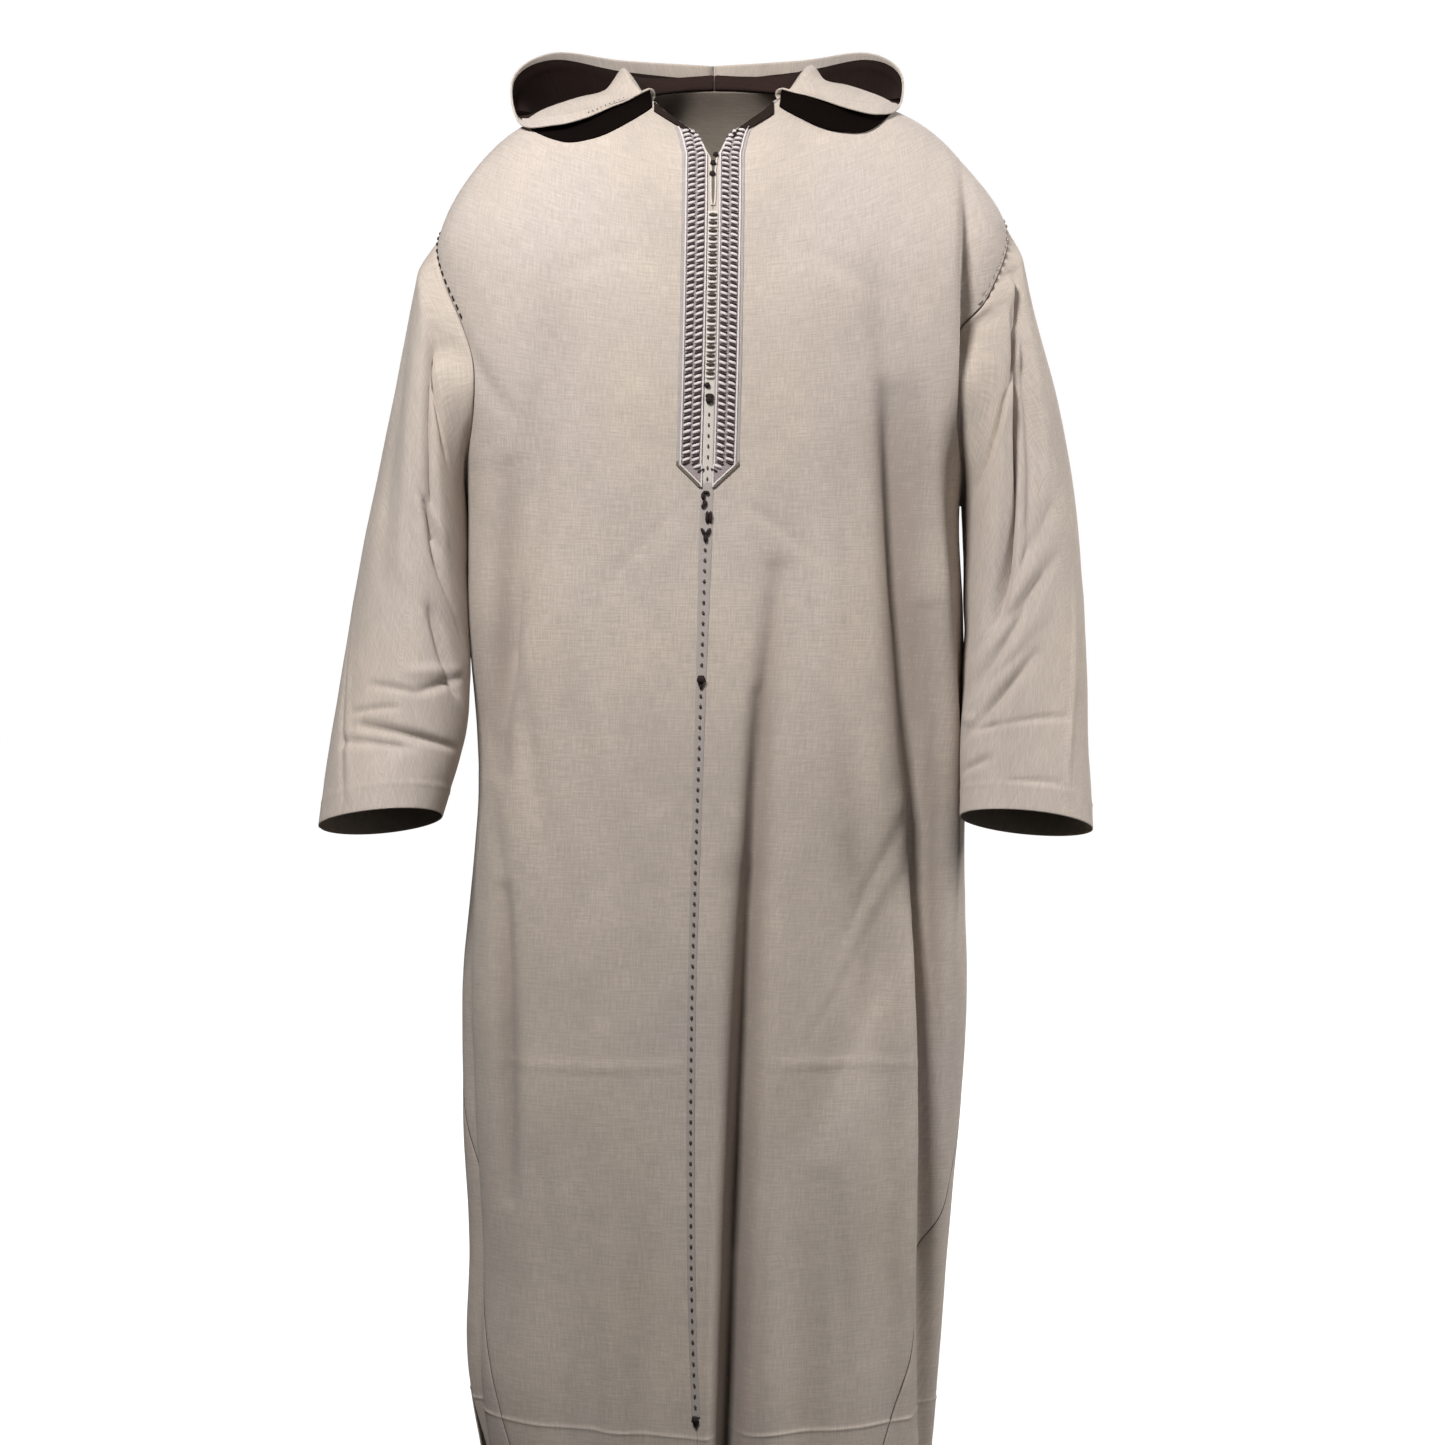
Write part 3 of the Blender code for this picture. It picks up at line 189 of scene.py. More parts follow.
# The hood lies open on the shoulders and back. Each row is a station, by its share of the
# way from the front of the neck to the centre back. There the cloth leaves the neck edge at
# an angle, rolls up, lies over the body at the floor's place, and turns up to the rim of the
# face opening, with its wall bulging outwards. The rim's x is a distance from the middle.
HOOD_COLUMNS = ("share", "neck_angle", "roll_up", "floor_angle", "floor_down", "floor_clear",
                "wall_out", "rim_x", "rim_y", "rim_z")
HOOD_RIGHT = (
    (0.00, 56, 0.0040, 58, 0.020, 0.0060, 0.0000, 0.0640, -0.0520, -0.0020),
    (0.08, 62, 0.0110, 63, 0.030, 0.0070, 0.0000, 0.0770, -0.0580, -0.0090),
    (0.17, 70, 0.0180, 66, 0.042, 0.0080, 0.0010, 0.1010, -0.0660, -0.0210),
    (0.27, 78, 0.0240, 69, 0.060, 0.0080, 0.0020, 0.1260, -0.0720, -0.0340),
    (0.38, 89, 0.0260, 77, 0.086, 0.0080, 0.0040, 0.1570, -0.0680, -0.0410),
    (0.49, 101, 0.0240, 90, 0.098, 0.0080, 0.0080, 0.1930, -0.0370, -0.0340),
    (0.60, 115, 0.0200, 107, 0.108, 0.0080, 0.0120, 0.2030, 0.0120, 0.0180),
    (0.73, 133, 0.0170, 128, 0.165, 0.0110, 0.0200, 0.1660, 0.0660, 0.0540),
    (0.86, 155, 0.0150, 152, 0.262, 0.0140, 0.0300, 0.0950, 0.1140, 0.0550),
    (1.00, 180, 0.0150, 180, 0.350, 0.0150, 0.0300, 0.0000, 0.1420, 0.0540),
)
HOOD_LEFT = (
    (0.00, 56, 0.0040, 58, 0.020, 0.0060, 0.0000, 0.0680, -0.0530, -0.0020),
    (0.08, 62, 0.0110, 63, 0.030, 0.0070, 0.0000, 0.0830, -0.0580, -0.0080),
    (0.17, 70, 0.0180, 66, 0.042, 0.0080, 0.0010, 0.1070, -0.0650, -0.0170),
    (0.27, 78, 0.0210, 69, 0.057, 0.0080, 0.0020, 0.1340, -0.0690, -0.0260),
    (0.38, 89, 0.0230, 78, 0.080, 0.0080, 0.0040, 0.1620, -0.0580, -0.0290),
    (0.49, 101, 0.0230, 91, 0.090, 0.0080, 0.0080, 0.1850, -0.0270, -0.0170),
    (0.60, 115, 0.0200, 108, 0.101, 0.0080, 0.0120, 0.1900, 0.0170, 0.0240),
    (0.73, 133, 0.0170, 128, 0.165, 0.0110, 0.0200, 0.1580, 0.0660, 0.0540),
    (0.86, 155, 0.0150, 152, 0.262, 0.0140, 0.0300, 0.0900, 0.1140, 0.0550),
    (1.00, 180, 0.0150, 180, 0.350, 0.0150, 0.0300, 0.0000, 0.1420, 0.0540),
)
HOOD_ROLL_OUT = 0.011
# How far along the cloth, from the neck edge to the rim, each of its stops lies.
HOOD_STOPS = (0.0, 0.04, 0.16, 0.30, 0.45, 0.60, 0.80, 1.0)
# The front stations are almost straight strips, and the back ones hang in a round turn.
HOOD_STRAIGHT = 0.28
HOOD_FLOOR_STOP = 5
HOOD_TURN = 0.20
HOOD_ARCH = 0.0060
HOOD_LIFT = 0.0008
HOOD_RISE = 0.004
# Between the roll and the floor, the hood lies over the body at three stops: how far each has
# turned to the floor's angle, how far down it is, and how much higher than the floor it is.
HOOD_LIES = ((0.4, 0.33, 0.003), (0.7, 0.66, 0.001), (1.0, 1.0, 0.0))

# The placket's two braided bands, one at each side of the centre seam: where they start,
# turn in and end in a point down the cloth, and how wide the point's end is.
BAND_TOP = 0.033
BAND_SHOULDER = 0.482
BAND_POINT = 0.508
BAND_POINT_WIDTH = 0.0080

# How far down the cloth the row of knot buttons and loops runs.
BUTTON_TOP = 0.168
BUTTON_LOW = 0.378

# Small motifs and knots on the centre seam: where each starts and ends down the cloth, its
# half width, and how far its middle is off the seam.
MOTIF_COLUMNS = ("name", "top", "low", "half_width", "offset")
MOTIFS = (
    ("neck_knots", 0.080, 0.116, 0.0048, 0.0000),
    ("placket_knot", 0.382, 0.411, 0.0046, 0.0000),
    ("motif_upper", 0.512, 0.531, 0.0042, -0.0010),
    ("motif_middle", 0.534, 0.547, 0.0046, 0.0010),
    ("motif_lower", 0.552, 0.566, 0.0044, 0.0000),
    ("waist_knot", 0.700, 0.711, 0.0044, 0.0000),
    ("hem_knot", 1.442, 1.454, 0.0042, 0.0000),
)

# The spacing of the dressed cloth's points, how round its edges are, and the widths and
# counts that its columns and rows come from.
ROW_STEP = 0.0048
COLUMN_STEP = 0.0042
EDGE_LINES = (0.0, 0.0004, 0.0009, 0.0015, 0.0026)
EDGE_ROUND = 0.0013
EDGE_THIN = 0.30
FRONT_WIDTH = 0.36
BACK_WIDTH = 0.62
BACK_STEP = COLUMN_STEP * 1.3
GORE_COLUMNS = 26
SLEEVE_STEPS = 100
SLEEVE_ROWS = 120
# Where the neck's V ends and its slit narrows and closes, down the cloth.
NECK_STOPS = (0.086, 0.150, 0.162)

# Fine creases of the body, each between two points as seen from the front, with how far its
# middle bows to the right. A negative depth is a ridge.
CREASE_COLUMNS = ("name", "face", "x_a", "z_a", "x_b", "z_b", "bow", "width", "depth")
BODY_CREASES = (
    ("pressed_low_right", 1, -0.218, -0.966, -0.022, -0.962, -0.002, 0.0042, -0.0013),
    ("pressed_low_left", 1, 0.046, -0.962, 0.206, -0.968, 0.002, 0.0042, -0.0012),
    ("thigh_drag_a", 1, 0.195, -0.775, 0.078, -0.959, 0.004, 0.0052, 0.0015),
    ("thigh_drag_b", 1, 0.184, -0.770, 0.062, -0.985, -0.004, 0.0050, -0.0010),
    ("thigh_drag_c", 1, 0.205, -0.820, 0.120, -0.985, 0.003, 0.0055, 0.0013),
    ("pleat_top", 1, 0.060, -0.480, 0.020, -1.140, -0.003, 0.0130, 0.0110),
    ("pleat_low", 1, 0.028, -0.780, 0.016, -1.600, 0.000, 0.0200, 0.0110),
    ("pleat_edge", 1, 0.040, -0.600, 0.000, -1.600, 0.000, 0.0065, 0.0066),
    ("pleat_ridge", 1, 0.028, -0.600, -0.022, -1.600, 0.000, 0.0110, -0.0030),
    ("side_line", 1, 0.210, -0.520, 0.216, -0.960, 0.002, 0.0090, 0.0110),
    ("flank_right", 1, -0.204, -0.380, -0.212, -0.680, 0.000, 0.0120, 0.0085),
    ("hip_out_left", 1, 0.243, -0.400, 0.243, -0.800, 0.000, 0.0300, -0.0050),
    ("hip_out_left_back", -1, 0.243, -0.400, 0.243, -0.800, 0.000, 0.0300, -0.0050),
    ("hip_out_right", 1, -0.240, -0.380, -0.243, -0.680, 0.000, 0.0300, -0.0070),
    ("hip_out_right_back", -1, -0.240, -0.380, -0.243, -0.680, 0.000, 0.0300, -0.0070),
    ("side_line_low", 1, 0.215, -0.860, 0.204, -1.340, 0.000, 0.0070, 0.0070),
    ("side_dark", 1, -0.210, -0.800, -0.204, -1.100, 0.002, 0.0110, 0.0085),
    ("hip_drag", 1, 0.200, -0.700, 0.128, -0.842, 0.004, 0.0080, 0.0024),
    ("belly_ripple_a", 1, 0.078, -0.365, 0.092, -0.560, -0.006, 0.0110, 0.0022),
    ("belly_ripple_b", 1, 0.126, -0.400, 0.146, -0.640, -0.006, 0.0120, 0.0026),
    ("belly_ripple_c", 1, 0.178, -0.320, 0.196, -0.680, -0.004, 0.0240, 0.0125),
    ("waist_ripple", 1, 0.052, -0.500, 0.060, -0.760, 0.003, 0.0100, -0.0016),
    ("placket_pull_left", 1, 0.030, -0.418, 0.100, -0.470, 0.004, 0.0070, 0.0011),
    ("placket_pull_right", 1, -0.034, -0.420, -0.110, -0.500, -0.004, 0.0080, 0.0011),
    ("side_ripple_right", 1, -0.205, -0.560, -0.170, -0.760, 0.006, 0.0120, 0.0026),
    ("side_ripple_low", 1, -0.222, -0.700, -0.205, -0.900, 0.004, 0.0100, 0.0030),
    ("hip_right", 1, -0.150, -0.600, -0.095, -0.800, 0.008, 0.0180, 0.0018),
    ("knee_right_a", 1, -0.170, -1.060, -0.158, -1.330, 0.004, 0.0140, 0.0034),
    ("knee_right_b", 1, -0.112, -1.120, -0.118, -1.370, -0.004, 0.0120, 0.0028),
    ("knee_right_c", 1, -0.060, -1.060, -0.052, -1.300, 0.003, 0.0120, 0.0018),
    ("knee_left_a", 1, 0.118, -1.080, 0.128, -1.340, 0.004, 0.0120, 0.0024),
    ("chest_cross_left", 1, 0.060, -0.160, 0.170, -0.215, 0.005, 0.0120, 0.0014),
    ("chest_cross_right", 1, -0.060, -0.165, -0.170, -0.200, 0.004, 0.0120, 0.0012),
    ("shoulder_drag_right", 1, -0.262, -0.215, -0.200, -0.330, -0.006, 0.0100, 0.0026),
    ("back_drag_left", -1, 0.180, -0.260, 0.060, -0.420, 0.010, 0.0150, 0.0030),
    ("back_drag_right", -1, -0.180, -0.260, -0.060, -0.410, -0.010, 0.0150, 0.0030),
    ("back_waist_left", -1, 0.150, -0.560, 0.020, -0.640, 0.012, 0.0140, 0.0026),
    ("back_waist_right", -1, -0.150, -0.580, -0.030, -0.690, -0.010, 0.0140, 0.0026),
    ("back_pressed", -1, -0.200, -0.980, 0.200, -0.984, 0.002, 0.0042, -0.0010),
)

# How a crease fades at its ends: how much of a half wave it leaves out, and the wave's power.
CREASE_TIP = 0.06
CREASE_TAPER = 0.7

# Soft unevenness of the cloth, as layers of smooth noise.
RIPPLE_COLUMNS = ("size_across", "size_down", "lean", "height", "seed")
RIPPLES = (
    (0.110, 0.230, 9, 0.0020, 3),
    (0.048, 0.095, -24, 0.0009, 5),
    (0.020, 0.031, 31, 0.00012, 8),
)
# The noise's cells each way, and where on them the cloth begins.
NOISE_CELLS = 64
NOISE_START = 1000
BODY_RADIUS = 0.22
# How far from the centre seam and the neck's edge ripples and creases reach their full depth.
RIPPLE_CALM = 0.040
CREASE_CALM = 0.012
NECK_CALM = 0.05
# Each long fold fades beyond its ends over these shares of its length.
FOLD_FADE_TOP = 0.06
FOLD_FADE_LOW = 0.12
# The gores' seams draw the cloth in by this much, over a width, from a length below their top.
SEAM_GROOVE = 0.0007
SEAM_GROOVE_WIDTH = 0.0026
SEAM_GROOVE_START = 0.04

# Fine creases of the sleeves, as the model's sleeve folds.
SLEEVE_LEFT_CREASES = (
    ("pressed_edge", 0.50, 38, 0.97, 59, 0.0050, -0.0022),
    ("shoulder_a", 0.030, 24, 0.095, 48, 0.0075, 0.0070),
    ("shoulder_b", 0.095, 48, 0.090, 80, 0.0075, 0.0070),
    ("shoulder_c", 0.090, 80, 0.064, 136, 0.0080, 0.0055),
    ("shoulder_ridge", 0.120, 40, 0.120, 100, 0.0110, -0.0030),
    ("long_soft", 0.150, 60, 0.460, 120, 0.0160, 0.0026),
    ("elbow_soft", 0.370, 60, 0.415, 108, 0.0130, 0.0038),
    ("drag_a", 0.462, 58, 0.480, 170, 0.0120, 0.0034),
    ("drag_b", 0.560, 70, 0.620, 160, 0.0120, 0.0022),
    ("bump", 0.660, 176, 0.700, 148, 0.0110, -0.0060),
    ("bump_under", 0.731, 148, 0.748, 119, 0.0065, 0.0052),
    ("cross_a", 0.748, 119, 0.779, 52, 0.0050, 0.0024),
    ("short", 0.919, 112, 0.926, 64, 0.0048, 0.0020),
    ("back_a", 0.30, 250, 0.46, 300, 0.0100, 0.0040),
    ("back_b", 0.50, 240, 0.60, 310, 0.0090, 0.0044),
)
SLEEVE_RIGHT_CREASES = (
    ("pressed_edge", 0.56, 14, 0.97, 58, 0.0046, 0.0022),
    ("pressed_ridge", 0.56, 22, 0.97, 66, 0.0055, -0.0012),
    ("shoulder_a", 0.030, 44, 0.080, 116, 0.0090, 0.0050),
    ("long_soft", 0.120, 28, 0.500, 60, 0.0160, 0.0034),
    ("long_ridge", 0.100, 54, 0.460, 84, 0.0150, -0.0030),
    ("elbow_dent", 0.264, 90, 0.276, 112, 0.0080, 0.0150),
    ("elbow_lip", 0.228, 92, 0.240, 128, 0.0085, -0.0034),
    ("elbow_tail", 0.290, 100, 0.383, 142, 0.0065, 0.0058),
    ("elbow_fold", 0.383, 142, 0.470, 168, 0.0070, 0.0044),
    ("cross_a", 0.694, 66, 0.669, 107, 0.0055, 0.0034),
    ("cross_b", 0.669, 107, 0.550, 155, 0.0070, 0.0054),
    ("cross_ridge", 0.636, 96, 0.520, 156, 0.0085, -0.0030),
    ("cross_c", 0.766, 50, 0.722, 95, 0.0048, 0.0034),
    ("wrist_soft", 0.800, 120, 0.860, 80, 0.0130, 0.0018),
    ("back_a", 0.32, 250, 0.48, 300, 0.0100, 0.0040),
    ("back_b", 0.52, 240, 0.62, 310, 0.0090, 0.0044),
)

# The hem's turning, and its sewn line above the edge.
HEM_TURN = 0.074
HEM_RIDGE = 0.0007
HEM_STEP = 0.0004
HEM_STEP_HALF = 0.001
HEM_LINE_WIDTH = 0.0018

# The placket's dressing. Places are distances from the centre seam, and heights are over
# the middle of the cloth.
# The bands' outline and grid: their inner and outer edges, how much their outer edge follows
# the neck's V, and how far they stay from the opening.
BAND_ROWS = 200
POINT_ROWS = 16
BAND_LINES = 12
BAND_INNER = 0.0056
BAND_EDGE = 0.0305
BAND_BEND = 0.45
OPENING_INSET = 0.0012
# The dark strip of painted shade along the neck's edge below the hood's front: where it begins and ends
# down the edge, and how far it reaches there.
NECK_SHADE_DOWNS = (0.0015, 0.046)
NECK_SHADE_REACH = {"left": (0.022, 0.010), "right": (0.015, 0.004)}
NECK_SHADE_HEIGHT = 0.0026
NECK_SHADE_HALF = 0.0009
# The bands' two cords, the ground between them, and the tape under all.
CORD_INNER = 0.0067
CORD_OUTER = 0.0262
CORD_RADIUS = 0.0009
CORD_HEIGHT = 0.0027
CORD_LAY = 0.0034
GROUND = (0.0076, 0.0252)
GROUND_LEAST = 0.0012
GROUND_BASE = 0.0015
GROUND_HEIGHT = 0.0023
TAPE_BASE = 0.0011
TAPE_HEIGHT = 0.0018
# How far in from its edges a flat strip is rounded, and its share of thickness there.
STRIP_ROUND = 0.0007
STRIP_THIN = 0.2
# The bands' columns of slanted pale stitches, with dark dashes between them.
BRAID_PITCH = 0.0084
BRAID_LINES = (0.0120, 0.0209)
BRAID_HALF = 0.0036
BRAID_SLANT = 0.0040
BRAID_HEIGHT = 0.0020
BRAID_RADIUS = 0.0017
DASH_HEIGHT = 0.0024
DASH_RADIUS = 0.0011
BRAID_JITTER = 0.0003
BRAID_SEEDS = {LEFT: 11, RIGHT: 12}
POINT_CORD_RADIUS = 0.0011

# The knot buttons, and the pale strip under them with its dots below.
BUTTON_COUNT = 20
# A button's pale loop and its dark bar: how far each lies from the button's middle as a share
# of the pitch, half its width, and its radius.
BUTTON_LOOP = (0.25, 0.0043, 0.0013)
BUTTON_BAR = (-0.25, 0.0040, 0.0015)
BUTTON_ARCH = 0.0009
BUTTON_HEIGHT = 0.0020
BUTTON_KNOT_HEIGHT = 0.0030
BUTTON_KNOT = 0.0019
STRIP_HALF = 0.0052
STRIP_HEIGHT = 0.0017
STRIP_END = 0.003
STRIP_ROWS = 120
STRIP_LINES = 9
STRIP_DOTS_FROM = 0.043
STRIP_DOT_PITCH = 0.0129

# The band on the centre seam, and its row of dots.
SEAM_DOT_PITCH = 0.0105
SEAM_HEIGHT = 0.0016
SEAM_ROWS = 420
SEAM_LINES = 8
MOTIF_HEIGHT = 0.0022
# The row of dots leaves this much clear round the waist's knot, and sways to either side.
KNOT_CLEAR = 0.009
KNOT_MIDDLE = 0.006
DOT_SWAY = 0.0003
# A dot's stitch: half its length, its height over the cloth, its radius and its arch.
STRIP_DOT = (0.0022, 0.0019, 0.0009, 0.0004)
SEAM_DOT = (0.0017, 0.0018, 0.0013, 0.0005)
DOTS_FROM = 0.008
DOTS_SHORT = 0.004

# The grooves of a rope, and the rings, the open pole and the lobes of a knot's ball.
ROPE_DEPTH = 0.16
BALL_ROWS = 9
BALL_SIDES = 14
BALL_POLE = 0.06
BALL_SWELL = 0.13

# The cord round the neck's edge, and the threads in the gores' seams.
NECK_CORD_TURN = math.radians(54)
NECK_CORD_TOP = 0.0006
NECK_CORD_LOW = 0.158
NECK_CORD_HEIGHT = 0.0013
NECK_CORD_RADIUS = 0.0011
THREAD_HEIGHT = 0.0007
THREAD_RADIUS = 0.0006
GORE_THREAD_FROM = 0.02
GORE_THREAD_ROWS = 110

# The band over the centre seam below the placket: how far down, and half its width.
SEAM_BAND_COLUMNS = ("down", "half_width")
SEAM_BAND = (
    (0.502, 0.0062), (0.570, 0.0066), (0.640, 0.0058), (0.705, 0.0050), (1.000, 0.0042), (1.446, 0.0041),
)

# A sleeve laid flat, and how much its ripples and the ends of its folds fade.
SLEEVE_LENGTH = 0.60
SLEEVE_RADIUS = 0.075
SLEEVE_RIPPLE = 0.7
SLEEVE_TAPER = 0.8
# The angle round a sleeve that lies against the body, where its folds fade out.
SLEEVE_INNER = math.radians(195)
CUFF_TURN = 0.026
RIM_TURN = 0.016

# How far out the pale cloth inside the hood's rim begins, by share of the way back; nearer the
# # neck, the hood's inside is painted near black as shade.
HOOD_PALE_COLUMNS = ("share", "out")
HOOD_PALE = ((0.00, 0.00), (0.38, 0.00), (0.46, 0.80), (0.54, 0.975), (1.00, 0.975))
# The shares between which that border slopes, and where the hood has finer columns.
HOOD_PALE_END = (0.375, 0.545)
HOOD_BORDER_COLUMNS = 100
# How far below the rim the dark sheet of painted shade under the hood's roll reaches on the chest.
HOOD_UNDER_COLUMNS = ("share", "reach")
HOOD_UNDER = ((0.01, 0.019), (0.08, 0.023), (0.17, 0.028), (0.27, 0.027), (0.38, 0.022),
              (0.46, 0.011), (0.53, 0.003))
# It leaves the hood at a share of the way out, and meets the chest a little further in.
HOOD_UNDER_IN = 0.96
HOOD_UNDER_OUT = 0.90
HOOD_UNDER_DOWNS = (0.004, 0.26)
HOOD_UNDER_CLEAR = 0.0018
HOOD_UNDER_BULGE = 0.004
HOOD_UNDER_HALF = 0.0007
HOOD_UNDER_ROW_COUNT = 14
HOOD_UNDER_COLUMN_COUNT = 60
CHEST_STEPS = 260
# The hood's rows and columns, and its length from the neck edge to the rim.
HOOD_FINE_ROWS = 100
HOOD_FINE_COLUMNS = 76
HOOD_DEPTH = 0.26
# How far from its neck edge and its ends the hood's ripples reach their full height.
HOOD_NECK_CALM = 0.05
HOOD_END_CALM = 0.03
HOOD_RIPPLE_ACROSS = 0.6
HOOD_RIPPLE_DOWN = 0.7

# The stitches beside the armholes, and those on the hood's rim.
ARMHOLE_PITCH = 0.0105
ARMHOLE_STITCH = 0.0062
ARMHOLE_INSET = 0.0045
ARMHOLE_HEIGHT = 0.0014
ARMHOLE_SEWN = 0.124
ARMHOLE_FINE_STEPS = 40
HOOD_STITCHES = 9
HOOD_STITCH_SHARES = (0.130, 0.262)
HOOD_STITCH_OUT = 0.90
HOOD_STITCH_HALF = 0.014
HOOD_STITCH_HEIGHT = 0.0016

# The small sewn ornaments, as knots and thick stitches. Places across are shares of the
# ornament's half width, and places down are shares of its length.
ORNAMENTS = {
    "neck_knots": (
        ("knot", 0.45, 0.06, 0.0, 0.0, 0.0027), ("knot", -0.05, 0.45, 0.0, 0.0, 0.0029),
        ("knot", -0.20, 0.92, 0.0, 0.0, 0.0030)),
    "placket_knot": (
        ("knot", -0.55, 0.10, 0.0, 0.0, 0.0027), ("stitch", -0.80, 0.56, 0.80, 0.56, 0.0024),
        ("stitch", -0.62, 0.76, 0.62, 0.76, 0.0025), ("knot", 0.0, 0.70, 0.0, 0.0, 0.0037)),
    "motif_upper": (
        ("stitch", -0.60, 0.06, 0.80, 0.12, 0.0017), ("stitch", -0.62, 0.10, -0.60, 0.50, 0.0019),
        ("knot", -0.20, 0.66, 0.0, 0.0, 0.0022), ("stitch", -0.85, 0.97, 0.25, 0.62, 0.0018)),
    "motif_middle": (
        ("stitch", 0.00, 0.02, 0.00, 0.98, 0.0018), ("stitch", 0.72, 0.02, 0.72, 0.98, 0.0018)),
    "motif_lower": (
        ("stitch", -1.00, 0.02, -0.05, 0.55, 0.0018), ("stitch", 1.00, 0.02, 0.05, 0.55, 0.0018),
        ("stitch", 0.0, 0.45, 0.0, 1.0, 0.0021)),
    "waist_knot": (
        ("knot", 0.0, 0.40, 0.0, 0.0, 0.0043), ("stitch", -0.25, 0.60, 0.0, 1.30, 0.0014),
        ("stitch", 0.25, 0.60, 0.0, 1.30, 0.0014)),
    "hem_knot": (
        ("knot", 0.0, 0.45, 0.0, 0.0, 0.0038), ("stitch", -0.30, 0.60, 0.0, 1.10, 0.0013),
        ("stitch", 0.30, 0.60, 0.0, 1.10, 0.0013)),
}

# The flat cut of each piece of cloth, in metres, and its area where it isn't a rectangle.
CUT_COLUMNS = ("piece", "width", "length", "area", "held", "rests_on")
CUTS = (
    ("front_left", 0.42, 1.54, 0.485, "hung", "back"),
    ("front_right", 0.36, 1.54, 0.400, "hung", "back"),
    ("back", 0.70, 1.54, 0.840, "hung", "front_left"),
    ("front_gore_left", 0.14, 0.42, 0.032, "hung", "front_left"),
    ("front_gore_right", 0.10, 0.42, 0.025, "hung", "front_right"),
    ("back_gore_left", 0.14, 0.42, 0.034, "hung", "back"),
    ("back_gore_right", 0.12, 0.42, 0.028, "hung", "back"),
    ("sleeve_left", 0.46, 0.56, 0.226, "hung", "front_left"),
    ("sleeve_right", 0.46, 0.56, 0.216, "hung", "front_right"),
    ("hood_left", 0.30, 0.40, 0.094, "draped", "back"),
    ("hood_right", 0.30, 0.40, 0.098, "draped", "back"),
)

# Colours as the cloth and threads have them under white light, but for the painted shades: the fold
# shade, the insides, the neck's strip and the hood's shade.
WOOL = (0.540, 0.467, 0.404)
WOOL_WARM = (0.615, 0.518, 0.428)
WOOL_GREY = (0.445, 0.378, 0.330)
WOOL_LILAC = (0.535, 0.466, 0.432)
# The dark colour of the painted shade inside the wool's deeper creases.
WOOL_FOLD_SHADE = (0.190, 0.140, 0.118)
# Painted shade: creases deeper than the first depth are painted darker inside, fully so at the second.
DEEP_FOLD = 0.0035
DEEP_FULL = 0.0110
DEEP_WIDER = 1.25
FOLD_SHADE_SHARE = 0.62
# The wool's inner faces, painted darker than the wool as the shade inside the robe.
WOOL_INSIDE_SHADE = (0.300, 0.250, 0.205)
# The hood's deep inside, painted near black as the shade within it.
HOOD_INSIDE_SHADE = (0.032, 0.020, 0.017)
# The neck's strip, painted near black as the shade below the hood's front.
NECK_SHADE_BROWN = (0.026, 0.018, 0.015)
HOOD_SHADE = (0.006, 0.004, 0.0035)
CORD_PALE = (0.640, 0.590, 0.565)
TAPE = (0.420, 0.370, 0.355)
STRIP_PALE = (0.560, 0.515, 0.470)
GROUND_LILAC = (0.300, 0.250, 0.252)
STITCH_PALE = (0.600, 0.545, 0.535)
DASH_DARK = (0.050, 0.034, 0.036)
OLIVE = (0.170, 0.142, 0.108)
KNOT_DARK = (0.020, 0.012, 0.011)
BAR_DARK = (0.085, 0.068, 0.052)
SEAM_GREY = (0.385, 0.335, 0.310)
SEAM_THREAD = (0.130, 0.102, 0.085)
DOT_BROWN = (0.085, 0.062, 0.050)
THREAD_PITCH = 0.0009
TAPE_PITCH = 0.0007

# The wool's layers: how often each changes in a metre across and down, its detail and its start.
WARP = ((760, 46), 3.0, (0, 0, 0))
WEFT = ((40, 700), 3.0, (7, 3, 0))
FLECKS = ((330, 330), 2.0, (2, 9, 0))
CLOUD = ((9, 7), 4.0, (4, 1, 0))
HAZE = ((3.4, 2.1), 2.0, (6, 2, 0))
FIBRES = ((1500, 700), 2.0, (0, 0, 0))

# Every plain weave but the wool: its key, its material's name, its colour, how much lighter
# # and darker its clouds are, and its threads' pitch. The first four are painted shade: the
# # body's and the hood's insides, the neck's strip and the hood's under shade.
WEAVES = (
    ("inside", "wool_inside_shade", WOOL_INSIDE_SHADE, 1.05, 0.92, THREAD_PITCH),
    ("hood_inside_shade", "hood_inside_shade", HOOD_INSIDE_SHADE, 1.1, 0.9, THREAD_PITCH),
    ("facing", "neck_shade", NECK_SHADE_BROWN, 1.1, 0.9, THREAD_PITCH),
    ("shade", "hood_shade", HOOD_SHADE, 1.1, 0.9, THREAD_PITCH),
    ("tape", "tape", TAPE, 1.05, 0.92, TAPE_PITCH),
)
# Every thread and cord: its key, its material's name, its colour, and how uneven that is.
THREADS = (
    ("seam", "seam_band", SEAM_GREY, 0.14),
    ("pale", "pale_strip", STRIP_PALE, 0.12),
    ("cord", "pale_cord", CORD_PALE, 0.12),
    ("stitch", "pale_stitch", STITCH_PALE, 0.16),
    ("ground", "braid_ground", GROUND_LILAC, 0.25),
    ("dash", "braid_dash", DASH_DARK, 0.35),
    ("olive", "olive_cord", OLIVE, 0.25),
    ("knot", "dark_thread", KNOT_DARK, 0.35),
    ("bar", "brown_thread", BAR_DARK, 0.35),
    ("dot", "dot_thread", DOT_BROWN, 0.35),
    ("thread", "seam_thread", SEAM_THREAD, 0.25),
)

# The photograph's camera, and the studio.
CAMERA_PLACE = (0.0087, -3.0, -0.50)
CAMERA_TARGET = (0.0087, 0.0, -0.635)
CAMERA_LENS = 73.3
